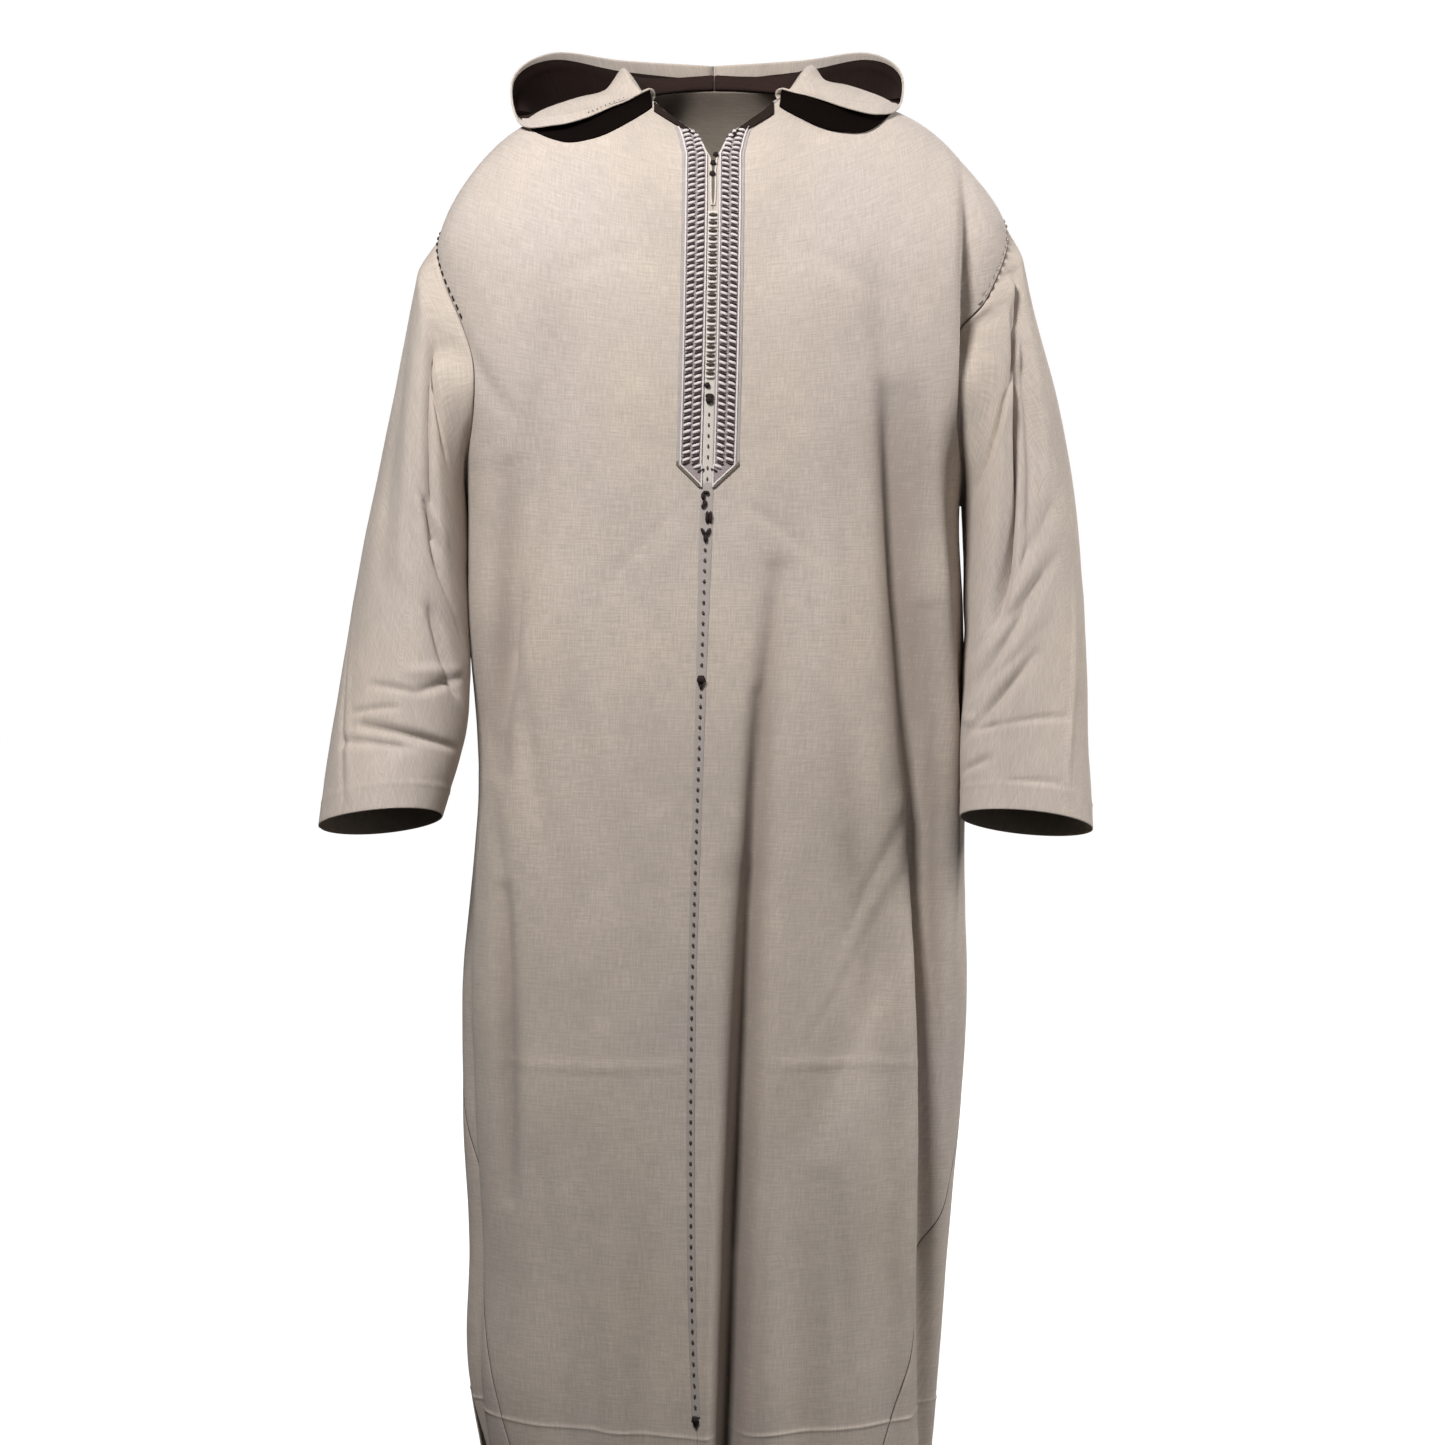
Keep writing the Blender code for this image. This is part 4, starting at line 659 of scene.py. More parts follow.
# The floor glows, with a painted shade that makes it a little darker under the robe, within the pool's
# radius.
FLOOR_Z = -1.405
FLOOR_HALF = 9
FLOOR_GREY = (0.30, 0.30, 0.30)
FLOOR_GLOW = 0.80
FLOOR_SHADE_POOL = 1.5
BACKDROP_RADIUS = 14.0
LIGHT_COLUMNS = ("name", "place", "target", "size", "power", "colour")
LIGHTS = (
    ("key", (-0.62, -1.50, 0.98), (0.0, -0.10, -0.32), 0.45, 57.0, (1.0, 0.997, 0.993)),
    ("side", (2.60, -0.10, 0.10), (0.2, 0.0, -0.60), 1.10, 50.0, (1.0, 0.99, 0.98)),
    ("fill", (1.80, -2.20, -0.20), (0.0, 0.0, -0.70), 1.60, 5.0, (0.97, 0.98, 1.0)),
    ("behind", (0.90, 2.60, 0.30), (0.0, 0.10, -0.60), 1.60, 52.0, (1.0, 0.995, 0.985)),
)
SKY = 0.07
SKY_COLOUR = (1.0, 0.975, 0.945, 1)


def table_column(table, columns, name):
    """One named column of a table, as an array."""
    return np.array([row[columns.index(name)] for row in table], float)


def place_between(keys, values):
    """Which interval of the keys each value lies in, the interval's length, and the share of it."""
    row = np.clip(np.searchsorted(keys, values) - 1, 0, len(keys) - 2)
    step = keys[row + 1] - keys[row]
    return row, step, (values - keys[row]) / step


def curve_between(t, step, start, leave, end, arrive):
    """A smooth curve from a start to an end, with its slopes there and the step between them."""
    return ((1 + 2 * t) * (1 - t) ** 2 * start + t * (1 - t) ** 2 * step * leave
            + t * t * (3 - 2 * t) * end + t * t * (t - 1) * step * arrive)


def unit(vectors):
    """Vectors turned to unit length."""
    return vectors / np.linalg.norm(vectors, axis=-1, keepdims=True)


def read_table(table, columns, key, values, name):
    """A smooth curve through a table's column, read at some values of its key column."""
    keys = table_column(table, columns, key)
    entries = table_column(table, columns, name)
    slopes = np.gradient(entries, keys)
    values = np.clip(np.asarray(values, float), keys[0], keys[-1])
    row, step, t = place_between(keys, values)
    return curve_between(t, step, entries[row], slopes[row], entries[row + 1], slopes[row + 1])


def ring(down, name):
    """One size of the body's ring at some distances down the cloth."""
    return read_table(RINGS, RING_COLUMNS, "down", down, name)


def straight_read(table, columns, key, values, name):
    """A table's column read in straight steps."""
    return np.interp(values, table_column(table, columns, key), table_column(table, columns, name))


def seam_offset(down):
    """How far the centre seam lies off the middle."""
    return read_table(CENTRE_SEAM, SEAM_COLUMNS, "z", ring(down, "front_z"), "offset")


def opening(down):
    """Half the width of the centre front's opening."""
    return straight_read(NECK_OPENING, OPENING_COLUMNS, "down", down, "half_width")


def angle_at(x, down):
    """The angle of the point on the body's front that lies at x."""
    width = np.where(x > 0, ring(down, "left_w"), ring(down, "right_w"))
    power = ring(down, "squareness")
    share = np.clip(np.abs(x) / width, 0, 0.9999)
    y = ring(down, "front_d") * (1 - share**power) ** (1 / power)
    return np.arctan2(x, y)


def body_base(angle, down):
    """The body's smooth tube, without folds."""
    angle, down = np.broadcast_arrays(np.asarray(angle, float), np.asarray(down, float))
    sine, cosine = np.sin(angle), np.cos(angle)
    width = np.where(sine > 0, ring(down, "left_w"), ring(down, "right_w"))
    depth = np.where(cosine > 0, ring(down, "front_d"), ring(down, "back_d"))
    power = ring(down, "squareness")
    reach = (np.abs(sine / width) ** power + np.abs(cosine / depth) ** power) ** (-1 / power)
    share = np.clip(np.abs(reach * sine) / width, 0, 1)
    side_z = np.where(sine > 0, ring(down, "left_z"), ring(down, "right_z"))
    middle_z = np.where(cosine > 0, ring(down, "front_z"), ring(down, "back_z"))
    height = middle_z + (side_z - middle_z) * share**2
    return np.stack([reach * sine, -reach * cosine, height], axis=-1)


def surface_normals(surface, u, v, step_u=1e-4, step_v=1e-4):
    """Unit normals of a surface of two parameters, by small steps each way."""
    v = np.clip(v, step_v, HEM_DOWN - step_v)
    across = surface(u + step_u, v) - surface(u - step_u, v)
    along = surface(u, v + step_v) - surface(u, v - step_v)
    return unit(np.cross(along, across))


def fold_rows(columns, table):
    """A fold table's rows as dictionaries."""
    return [dict(zip(columns, row)) for row in table]


def smooth_step(values):
    """An ease from 0 to 1."""
    t = np.clip(values, 0, 1)
    return t * t * (3 - 2 * t)


def three_point(low, mid, high, t):
    """A quadratic through three evenly spaced values."""
    return low * (1 - t) * (1 - 2 * t) + mid * 4 * t * (1 - t) + high * t * (2 * t - 1)


def trough(distance, width):
    """A soft trough of unit depth with a slight lip on each side."""
    ratio = (distance / width) ** 2
    return (1 - 0.3 * ratio) * np.exp(-ratio)


def fold_depth(fold, angle, path, height, radius):
    """How deep one long fold is at each point."""
    t = (fold["top_z"] - height) / (fold["top_z"] - fold["low_z"])
    inside = np.clip(t, 0, 1)
    depth = three_point(fold["top_depth"], fold["mid_depth"], fold["low_depth"], inside)
    width = fold["top_width"] + (fold["low_width"] - fold["top_width"]) * inside
    fade = np.where(t < 0, np.exp(-((t / FOLD_FADE_TOP) ** 2)), 1.0)
    fade = np.where(t > 1, np.exp(-(((t - 1) / FOLD_FADE_LOW) ** 2)), fade)
    turn = (angle - path + math.pi) % (2 * math.pi) - math.pi
    return depth * fade * trough(turn * radius, width)


def fold_line(fold, height):
    """Where a long fold's path runs at each height, through its three places."""
    t = np.clip((fold["top_z"] - height) / (fold["top_z"] - fold["low_z"]), 0, 1)
    return three_point(fold["top_x"], fold["mid_x"], fold["low_x"], t)


def body_fold(angle, down):
    """How far the folds sink the body's cloth at each point."""
    base = body_base(angle, down)
    radius = np.hypot(base[..., 0], base[..., 1])
    height = base[..., 2]
    total = np.zeros(height.shape)
    for fold in fold_rows(FOLD_COLUMNS, FRONT_FOLDS):
        total += fold_depth(fold, angle, angle_at(fold_line(fold, height), down), height, radius)
    for fold in fold_rows(FOLD_COLUMNS, ROUND_FOLDS):
        total += fold_depth(fold, angle, np.radians(fold_line(fold, height)), height, radius)
    return total


def body_surface(angle, down):
    """The body's cloth, at the middle of its wall."""
    angle, down = np.broadcast_arrays(np.asarray(angle, float), np.asarray(down, float))
    normal = surface_normals(body_base, angle, down)
    return body_base(angle, down) - normal * body_fold(angle, down)[..., None]


def body_normals(angle, down):
    """The body's outward normals with its folds."""
    angle, down = np.broadcast_arrays(np.asarray(angle, float), np.asarray(down, float))
    return surface_normals(body_surface, angle, down, 5e-4, 5e-4)


def armhole_turn(down):
    """How far each edge of the armhole stands from the side line."""
    t = (np.asarray(down, float) - ARMHOLE_TOP) / (ARMHOLE_BOTTOM - ARMHOLE_TOP)
    return ARMHOLE_HALF_ANGLE * np.sin(math.pi * np.clip(t, 0, 1)) ** ARMHOLE_FULLNESS


def gap_angle(down, side):
    """Half of a seam's gap at the side line, as an angle."""
    return HALF_GAP / ring(down, "left_w" if side > 0 else "right_w")


def slit_share(down):
    """How far the side slit has opened, from 0 at its top to 1 at the hem."""
    return np.clip((np.asarray(down, float) - SLIT_TOP) / (HEM_DOWN - SLIT_TOP), 0, 1) ** SLIT_CURVE


def gore_angle(down, side):
    """The angle from the centre front at which a gore's seam runs."""
    hem = abs(float(angle_at(np.array(side * GORE_HEM_X[side]), np.array(HEM_DOWN))))
    t = np.clip((np.asarray(down, float) - GORE_TOP) / (HEM_DOWN - GORE_TOP), 0, 1)
    return (RIGHT_ANGLE - GORE_POINT) * (1 - t) + hem * t


def panel_edge(down, side):
    """How far from its own centre line a front or back panel reaches, as an angle."""
    down = np.asarray(down, float)
    plain = RIGHT_ANGLE - armhole_turn(down) - gap_angle(down, side)
    cut = gore_angle(down, side) - gap_angle(down, side)
    return np.where(down >= GORE_TOP - 1e-9, cut, plain)


def noise_grid(across, down, size_across, size_down, seed):
    """Smooth noise from -1 to 1 over the cloth's two directions."""
    cells = np.random.default_rng(seed).uniform(-1, 1, (NOISE_CELLS, NOISE_CELLS))
    a = np.asarray(across) / size_across + NOISE_START
    b = np.asarray(down) / size_down + NOISE_START
    i, j = np.floor(a).astype(int), np.floor(b).astype(int)
    s, t = smooth_step(a - i), smooth_step(b - j)
    i, j, far_i, far_j = (place % NOISE_CELLS for place in (i, j, i + 1, j + 1))
    top = cells[i, j] * (1 - s) + cells[far_i, j] * s
    low = cells[i, far_j] * (1 - s) + cells[far_i, far_j] * s
    return top * (1 - t) + low * t


def ripples(across, down):
    """The cloth's soft unevenness."""
    total = 0
    for row in fold_rows(RIPPLE_COLUMNS, RIPPLES):
        lean = math.radians(row["lean"])
        a = across * math.cos(lean) - down * math.sin(lean)
        b = across * math.sin(lean) + down * math.cos(lean)
        noise = noise_grid(a, b, row["size_across"], row["size_down"], row["seed"])
        total = total + row["height"] * noise
    return total


def line_distance(u, v, start, end, bow=0.0):
    """The distance of points from a line that may bow, and their share of the way along it."""
    run_u, run_v = end[0] - start[0], end[1] - start[1]
    length = math.hypot(run_u, run_v)
    t = np.clip(((u - start[0]) * run_u + (v - start[1]) * run_v) / length**2, 0, 1)
    lean = 4 * bow * t * (1 - t)
    near_u = start[0] + run_u * t + lean * abs(run_v) / length
    near_v = start[1] + run_v * t + lean * abs(run_u) / length
    return np.hypot(u - near_u, v - near_v), t


def crease_sink(crease, x, z, wider=1.0):
    """How far one fine crease sinks the cloth at points seen from the front."""
    ends = [(crease["x_" + end], crease["z_" + end]) for end in "ab"]
    distance, t = line_distance(x, z, *ends, crease["bow"])
    taper = np.sin(math.pi * np.clip(CREASE_TIP + (1 - 2 * CREASE_TIP) * t, 0, 1)) ** CREASE_TAPER
    return crease["depth"] * taper * trough(distance, crease["width"] * wider)


def body_creases(base, angle):
    """How far the fine creases sink the body's cloth."""
    total = np.zeros(base.shape[:-1])
    facing = np.where(np.cos(angle) > 0, 1, -1)
    for crease in fold_rows(CREASE_COLUMNS, BODY_CREASES):
        total += (facing == crease["face"]) * crease_sink(crease, base[..., 0], base[..., 2])
    return total


def turned_edge(line):
    """How far a turned edge and its sewn line stand out, by how far past the line a point is."""
    ridge = HEM_RIDGE * np.exp(-((line / HEM_LINE_WIDTH) ** 2))
    return ridge + HEM_STEP * smooth_step((line + HEM_STEP_HALF) / (2 * HEM_STEP_HALF))


def seam_groove(angle, down):
    """How far the gores' seams draw the cloth in."""
    turn = (angle + math.pi) % (2 * math.pi) - math.pi
    total = np.zeros(turn.shape)
    for side in (LEFT, RIGHT):
        from_front = np.where(turn * side > 0, np.abs(turn), math.pi)
        for near in (from_front, math.pi - from_front):
            off = (near - gore_angle(down, side)) * BODY_RADIUS
            total += SEAM_GROOVE * np.exp(-((off / SEAM_GROOVE_WIDTH) ** 2)) * (turn * side > 0)
    return total * smooth_step((down - GORE_TOP) / SEAM_GROOVE_START)


def cloth(angle, down):
    """The body's dressed cloth, at the middle of its wall: folds, creases and ripples."""
    angle, down = np.broadcast_arrays(np.asarray(angle, float), np.asarray(down, float))
    base = body_base(angle, down)
    normal = surface_normals(body_base, angle, down)
    front = np.cos(angle) > 0
    from_seam = np.abs(base[..., 0] - seam_offset(down))
    calm = np.where(front, smooth_step(from_seam / RIPPLE_CALM), 1)
    close = np.where(front, smooth_step(from_seam / CREASE_CALM), 1)
    soft = ripples((angle % (2 * math.pi)) * BODY_RADIUS, down)
    fine = (body_creases(base, angle) * close - soft * calm) * smooth_step(down / NECK_CALM)
    relief = turned_edge(down - (HEM_DOWN - HEM_TURN)) - seam_groove(angle, down)
    return base + normal * (relief - body_fold(angle, down) - fine)[..., None]


def cloth_normals(angle, down):
    """The dressed cloth's outward normals."""
    angle, down = np.broadcast_arrays(np.asarray(angle, float), np.asarray(down, float))
    return surface_normals(cloth, angle, down, 2e-3, 6e-4)


def edged(length, step):
    """Shares of a length with points at about one step, and finer ones near both ends."""
    near = np.array(EDGE_LINES) / length
    middle = np.linspace(near[-1], 1 - near[-1], max(2, round(length / step)))
    return np.concatenate([near[:-1], middle, 1 - near[-2::-1]])


def close_ended(count):
    """Shares of a length that lie closer near both ends."""
    return (1 - np.cos(np.linspace(0, math.pi, count))) / 2


def edge_thickness(distance):
    """The share of the wall's thickness at a distance from its edge."""
    t = np.clip(1 - distance / EDGE_ROUND, 0, 1)
    return EDGE_THIN + (1 - EDGE_THIN) * np.sqrt(1 - t * t)


def grid_normals(points, closed):
    """Unit normals at the points of a grid, which may close round its second axis."""
    along = np.gradient(points, axis=0)
    if closed:
        across = np.roll(points, -1, axis=1) - np.roll(points, 1, axis=1)
    else:
        across = np.gradient(points, axis=1)
    normal = np.cross(along, across)
    return normal / np.maximum(np.linalg.norm(normal, axis=-1, keepdims=True), 1e-12)


def path_lengths(points, axis):
    """How far along a grid's axis each point lies."""
    steps = np.linalg.norm(np.diff(points, axis=axis), axis=-1)
    return np.insert(np.cumsum(steps, axis=axis), 0, 0, axis=axis)


def drop_loose_points(mesh):
    """Removes points that no face uses and turns every face to point out."""
    builder = bmesh.new()
    builder.from_mesh(mesh)
    bmesh.ops.delete(builder, geom=[v for v in builder.verts if not v.link_faces], context="VERTS")
    bmesh.ops.recalc_face_normals(builder, faces=builder.faces)
    builder.to_mesh(mesh)
    builder.free()


def piece_mesh(name, verts, quads, uv, inner_faces, materials):
    """A smooth mesh of quads, with a UV in metres for each corner and one or more materials."""
    mesh = bpy.data.meshes.new(name)
    mesh.vertices.add(len(verts))
    mesh.vertices.foreach_set("co", np.asarray(verts, np.float32).ravel())
    mesh.loops.add(4 * len(quads))
    mesh.loops.foreach_set("vertex_index", np.asarray(quads, np.int32).ravel())
    mesh.polygons.add(len(quads))
    mesh.polygons.foreach_set("loop_start", np.arange(0, 4 * len(quads), 4, dtype=np.int32))
    mesh.polygons.foreach_set("use_smooth", np.ones(len(quads), bool))
    for material in materials:
        mesh.materials.append(material)
    mesh.polygons.foreach_set("material_index", np.asarray(inner_faces, np.int32))
    layer = mesh.uv_layers.new(name="cloth")
    layer.data.foreach_set("uv", np.asarray(uv, np.float32).ravel())
    mesh.update()
    drop_loose_points(mesh)
    piece = bpy.data.objects.new(name, mesh)
    bpy.context.scene.collection.objects.link(piece)
    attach(piece, "root")
    return piece


def wall_piece(name, middle, normals, thickness, uv, closed, materials, half=HALF_WALL, slots=None):
    """A cloth wall about a grid of middle points, thinner at its rounded edges."""
    rows, columns = middle.shape[:2]
    if closed:
        grids = (middle, normals, thickness)
        middle, normals, thickness = (np.append(grid, grid[:, :1], axis=1) for grid in grids)
        columns += 1
    offset = normals * half * thickness[..., None]
    count = rows * columns
    verts = np.concatenate([(middle + offset).reshape(-1, 3), (middle - offset).reshape(-1, 3)])
    i, j = np.meshgrid(np.arange(rows - 1), np.arange(columns - 1), indexing="ij")
    a = (i * columns + j).ravel()
    outer = np.stack([a, a + 1, a + columns + 1, a + columns], axis=1)
    first = verts[outer[len(outer) // 2]]
    facing = np.cross(first[1] - first[0], first[3] - first[0])
    if facing @ normals.reshape(-1, 3)[outer[len(outer) // 2, 0]] < 0:
        outer = outer[:, ::-1]
    inner = outer[:, ::-1] + count
    top, low = np.arange(columns - 1), (rows - 1) * columns + np.arange(columns - 1)
    rims = [(top, top + 1), (low + 1, low)]
    if not closed:
        left, right = np.arange(rows - 1) * columns, np.arange(rows - 1) * columns + columns - 1
        rims += [(left + columns, left), (right, right + columns)]
    edges = np.concatenate([np.stack([p, p + count, q + count, q], axis=1) for p, q in rims])
    quads = np.concatenate([outer, inner, edges])
    uv = np.concatenate([uv.reshape(-1, 2)] * 2)[quads.ravel()]
    if closed:
        seam = np.arange(2 * rows) * columns + columns - 1
        weld = np.arange(2 * count)
        weld[seam] = seam - columns + 1
        quads = weld[quads]
    hidden = np.ones(len(inner)) if slots is None else slots.ravel()
    inside = np.concatenate([np.zeros(len(outer)), hidden, np.zeros(len(edges))])
    return piece_mesh(name, verts, quads, uv, inside, materials)


def edge_distance(points, closed):
    """How far each point of a grid lies from the grid's nearest edge."""
    down = path_lengths(points, 0)
    nearest = np.minimum(down, down[-1:] - down)
    if not closed:
        across = path_lengths(points, 1)
        nearest = np.minimum(nearest, np.minimum(across, across[:, -1:] - across))
    return nearest


def fine_rows():
    """The distances down the cloth of a dressed panel's rows."""
    stops = [0, *NECK_STOPS, ARMHOLE_TOP, ARMHOLE_BOTTOM, GORE_TOP - 2 * SEAM_GAP, GORE_TOP,
             SLIT_TOP, HEM_DOWN - HEM_TURN, HEM_DOWN]
    rows = []
    for low, high in zip(stops[:-1], stops[1:]):
        rows.append(np.linspace(low, high, max(1, math.ceil((high - low) / ROW_STEP)) + 1))
    close = np.array(EDGE_LINES[1:])
    for stop in (0, ARMHOLE_TOP, ARMHOLE_BOTTOM, HEM_DOWN - HEM_TURN, HEM_DOWN):
        rows += [stop - close, stop + close]
    rows = np.unique(np.concatenate(rows).round(7))
    return rows[(rows >= 0) & (rows <= HEM_DOWN)]


def body_piece(name, angles, rows, materials):
    """A panel of the body's dressed cloth, from its points' angles and distances down."""
    downs = np.broadcast_to(rows[:, None], angles.shape)
    middle = cloth(angles, downs)
    across = path_lengths(middle, 1)
    uv = np.stack([across, downs], axis=-1)
    thickness = edge_thickness(edge_distance(middle, False))
    normals = grid_normals(middle, False)
    normals *= np.sign((normals * middle * (1, 1, 0)).sum())
    # The deeper creases are marked for their painted shade.
    return mark_fold_shade(wall_piece(name + "_cloth", middle, normals, thickness, uv, False, materials))


def mark_fold_shade(piece):
    """Marks how deep in a fold each point of the cloth lies, for the painted shade there."""
    points = np.empty(len(piece.data.vertices) * 3)
    piece.data.vertices.foreach_get("co", points)
    points = points.reshape(-1, 3)
    depth = np.zeros(len(points))
    for crease in fold_rows(CREASE_COLUMNS, BODY_CREASES):
        if crease["depth"] > DEEP_FOLD:
            faces = points[:, 1] * crease["face"] < 0
            depth = np.maximum(depth, faces * crease_sink(crease, points[:, 0], points[:, 2], DEEP_WIDER))
    marks = piece.data.attributes.new("fold", "FLOAT", "POINT")
    marks.data.foreach_set("value", depth / DEEP_FULL)
    return piece


def dress_front(name, side, materials):
    """One front panel."""
    rows = fine_rows()
    start = angle_at(seam_offset(rows) + side * opening(rows), rows)
    edge = side * panel_edge(rows, side)
    share = edged(FRONT_WIDTH, COLUMN_STEP)
    angles = start[:, None] + (edge - start)[:, None] * share[None, :]
    return body_piece(name, angles, rows, materials)


def dress_back(materials):
    """The back panel."""
    rows = fine_rows()
    left, right = panel_edge(rows, LEFT)[:, None], panel_edge(rows, RIGHT)[:, None]
    share = edged(BACK_WIDTH, BACK_STEP)
    angles = math.pi - left + (left + right) * share[None, :]
    return body_piece("back", angles, rows, materials)


def dress_gore(name, side, back, materials):
    """One gore, closed by its seams above and open at the slit below."""
    rows = fine_rows()
    rows = rows[rows >= GORE_TOP - 1e-9]
    rows[0] = GORE_TOP + SEAM_GAP
    near = gore_angle(rows, side) + gap_angle(rows, side)
    slit = (SLIT_BACK if back else SLIT_FRONT) * slit_share(rows)
    far = RIGHT_ANGLE - gap_angle(rows, side) - slit
    from_centre = near[:, None] + (far - near)[:, None] * close_ended(GORE_COLUMNS)[None, :]
    angles = side * (math.pi - from_centre if back else from_centre)
    return body_piece(name, angles, rows, materials)


def armhole_loop(side, steps):
    """The armhole's edge: angles and distances down, from the top round by the front."""
    downs = np.linspace(ARMHOLE_TOP, ARMHOLE_BOTTOM, steps + 1)
    turn = armhole_turn(downs)
    loop_downs = np.concatenate([downs, downs[-2:0:-1]])
    loop_angles = side * np.concatenate([RIGHT_ANGLE - turn, (RIGHT_ANGLE + turn)[-2:0:-1]])
    return loop_angles, loop_downs


def armhole_frame(side, steps):
    """The armhole's edge points, the cloth's normals there, and the way into the opening."""
    loop_angles, loop_downs = armhole_loop(side, steps)
    edge = cloth(loop_angles, loop_downs)
    outward = cloth_normals(loop_angles, loop_downs)
    tangent = np.roll(edge, -1, axis=0) - np.roll(edge, 1, axis=0)
    into = unit(np.cross(tangent, outward))
    into *= np.sign(np.einsum("ij,ij->i", into, edge.mean(axis=0) - edge))[:, None]
    return edge, outward, into


def sleeve_ring(table, side, along, turn):
    """Points of a sleeve's smooth tube, by place along it and angle round it."""
    size = {name: read_table(table, SLEEVE_COLUMNS, "along", along, name)[:, None]
            for name in SLEEVE_COLUMNS[1:]}
    across = np.cos(turn)[None, :]
    front = np.sin(turn)[None, :]
    middle_x = (size["outer_x"] + size["inner_x"]) / 2
    middle_z = (size["outer_z"] + size["inner_z"]) / 2
    x = middle_x + (size["outer_x"] - size["inner_x"]) / 2 * across
    z = middle_z + (size["outer_z"] - size["inner_z"]) / 2 * across + size["lift"] * front
    y = -size["forward"] - size["half_depth"] * front + size["slew"] * across
    return np.stack([side * x, y, z], axis=-1)


def sleeve_fold(folds, along, turn):
    """How far a sleeve's folds and creases sink its cloth."""
    total = np.zeros((len(along), len(turn)))
    for fold in fold_rows(SLEEVE_FOLD_COLUMNS, folds):
        ends = [(fold["along_" + end] * SLEEVE_LENGTH, math.radians(fold["round_" + end]) * SLEEVE_RADIUS)
                for end in "ab"]
        distance, t = line_distance(along[:, None] * SLEEVE_LENGTH, turn[None, :] * SLEEVE_RADIUS, *ends)
        taper = np.sin(math.pi * t) ** 0.5 * SLEEVE_TAPER + 1 - SLEEVE_TAPER
        total += fold["depth"] * taper * trough(distance, fold["width"])
    facing = np.clip(np.cos(turn - SLEEVE_INNER), 0, 1) ** 2
    return total * (1 - facing)[None, :]


def outward_from_middle(points, normals):
    """A closed grid's normals, turned to point away from its middle line."""
    away = points - points.mean(axis=1, keepdims=True)
    return normals * np.sign((normals * away).sum())


def dress_sleeve(name, side, table, folds, materials):
    """One sleeve, from the armhole's edge to the turned cuff."""
    edge, outward, into = armhole_frame(side, SLEEVE_STEPS)
    turn = np.linspace(0, 2 * math.pi, len(edge), endpoint=False)
    along = np.linspace(0.05, 1.0, SLEEVE_ROWS)
    tube = sleeve_ring(table, side, along, turn)
    tube_normals = outward_from_middle(tube, grid_normals(tube, True))
    soft = ripples(along[:, None] * SLEEVE_LENGTH, turn[None, :] * SLEEVE_RADIUS + side)
    sink = sleeve_fold(folds, along, turn) - SLEEVE_RIPPLE * soft
    tube = tube - tube_normals * sink[..., None]
    heading = unit(tube[0] - edge)
    lean = np.einsum("ij,ij->i", heading, into)[:, None]
    heading = unit(np.where(lean < 0, heading - lean * into, heading))
    lean = np.clip(np.einsum("ij,ij->i", heading, into), 0, 1)[:, None]
    start = edge + into * (SEAM_GAP + HALF_WALL * np.sqrt(1 - lean**2))
    step = start + heading * SLEEVE_STEP_OUT + outward * SLEEVE_STEP_OUT * (1 - lean)
    reach = np.linalg.norm(tube[0] - step, axis=1, keepdims=True)
    leave = (tube[0] - step) / reach
    arrive = unit(tube[1] - tube[0])
    bridge = [curve_between(t, reach, step, leave, tube[0], arrive) for t in np.linspace(0, 1, 9)[1:-1]]
    first = [start + (step - start) * t for t in (0.0, 0.3, 0.65, 1.0)]
    middle = np.concatenate([np.stack(first), np.stack(bridge), tube])
    middle = with_close_end(middle)
    normals = outward_from_middle(middle, grid_normals(middle, True))
    lengths = path_lengths(middle, 0)
    line = CUFF_TURN - (lengths[-1:] - lengths)
    middle = middle + normals * turned_edge(line)[..., None]
    thickness = edge_thickness(edge_distance(middle, True))
    down = np.append(lengths, lengths[:, :1], axis=1)
    round_it = np.arange(len(edge) + 1) * (2 * math.pi / len(edge)) * SLEEVE_RADIUS
    uv = np.stack([np.broadcast_to(round_it, down.shape), down], axis=-1)
    return wall_piece(name + "_cloth", middle, normals, thickness, uv, True, materials)


def with_close_end(points):
    """A grid with finer rows beside its last edge."""
    last, before = points[-1], points[-2]
    length = np.linalg.norm(before - last, axis=-1).mean()
    close = [last + (before - last) * min(0.9, line / length) for line in EDGE_LINES[1:4]]
    return np.stack([*points[:-1], *close[::-1], last])


def through_stops(stops, slopes, keys, values):
    """Smooth curves through stops with given slopes, read at some values of their key."""
    row, step, t = place_between(keys, values)
    step, t = step[:, None, None], t[:, None, None]
    return curve_between(t, step, stops[row], slopes[row], stops[row + 1], slopes[row + 1])


def over_body(angle, down, clear):
    """Points over the body's cloth by some clearance."""
    return body_surface(angle, down) + body_normals(angle, down) * np.asarray(clear)[..., None]


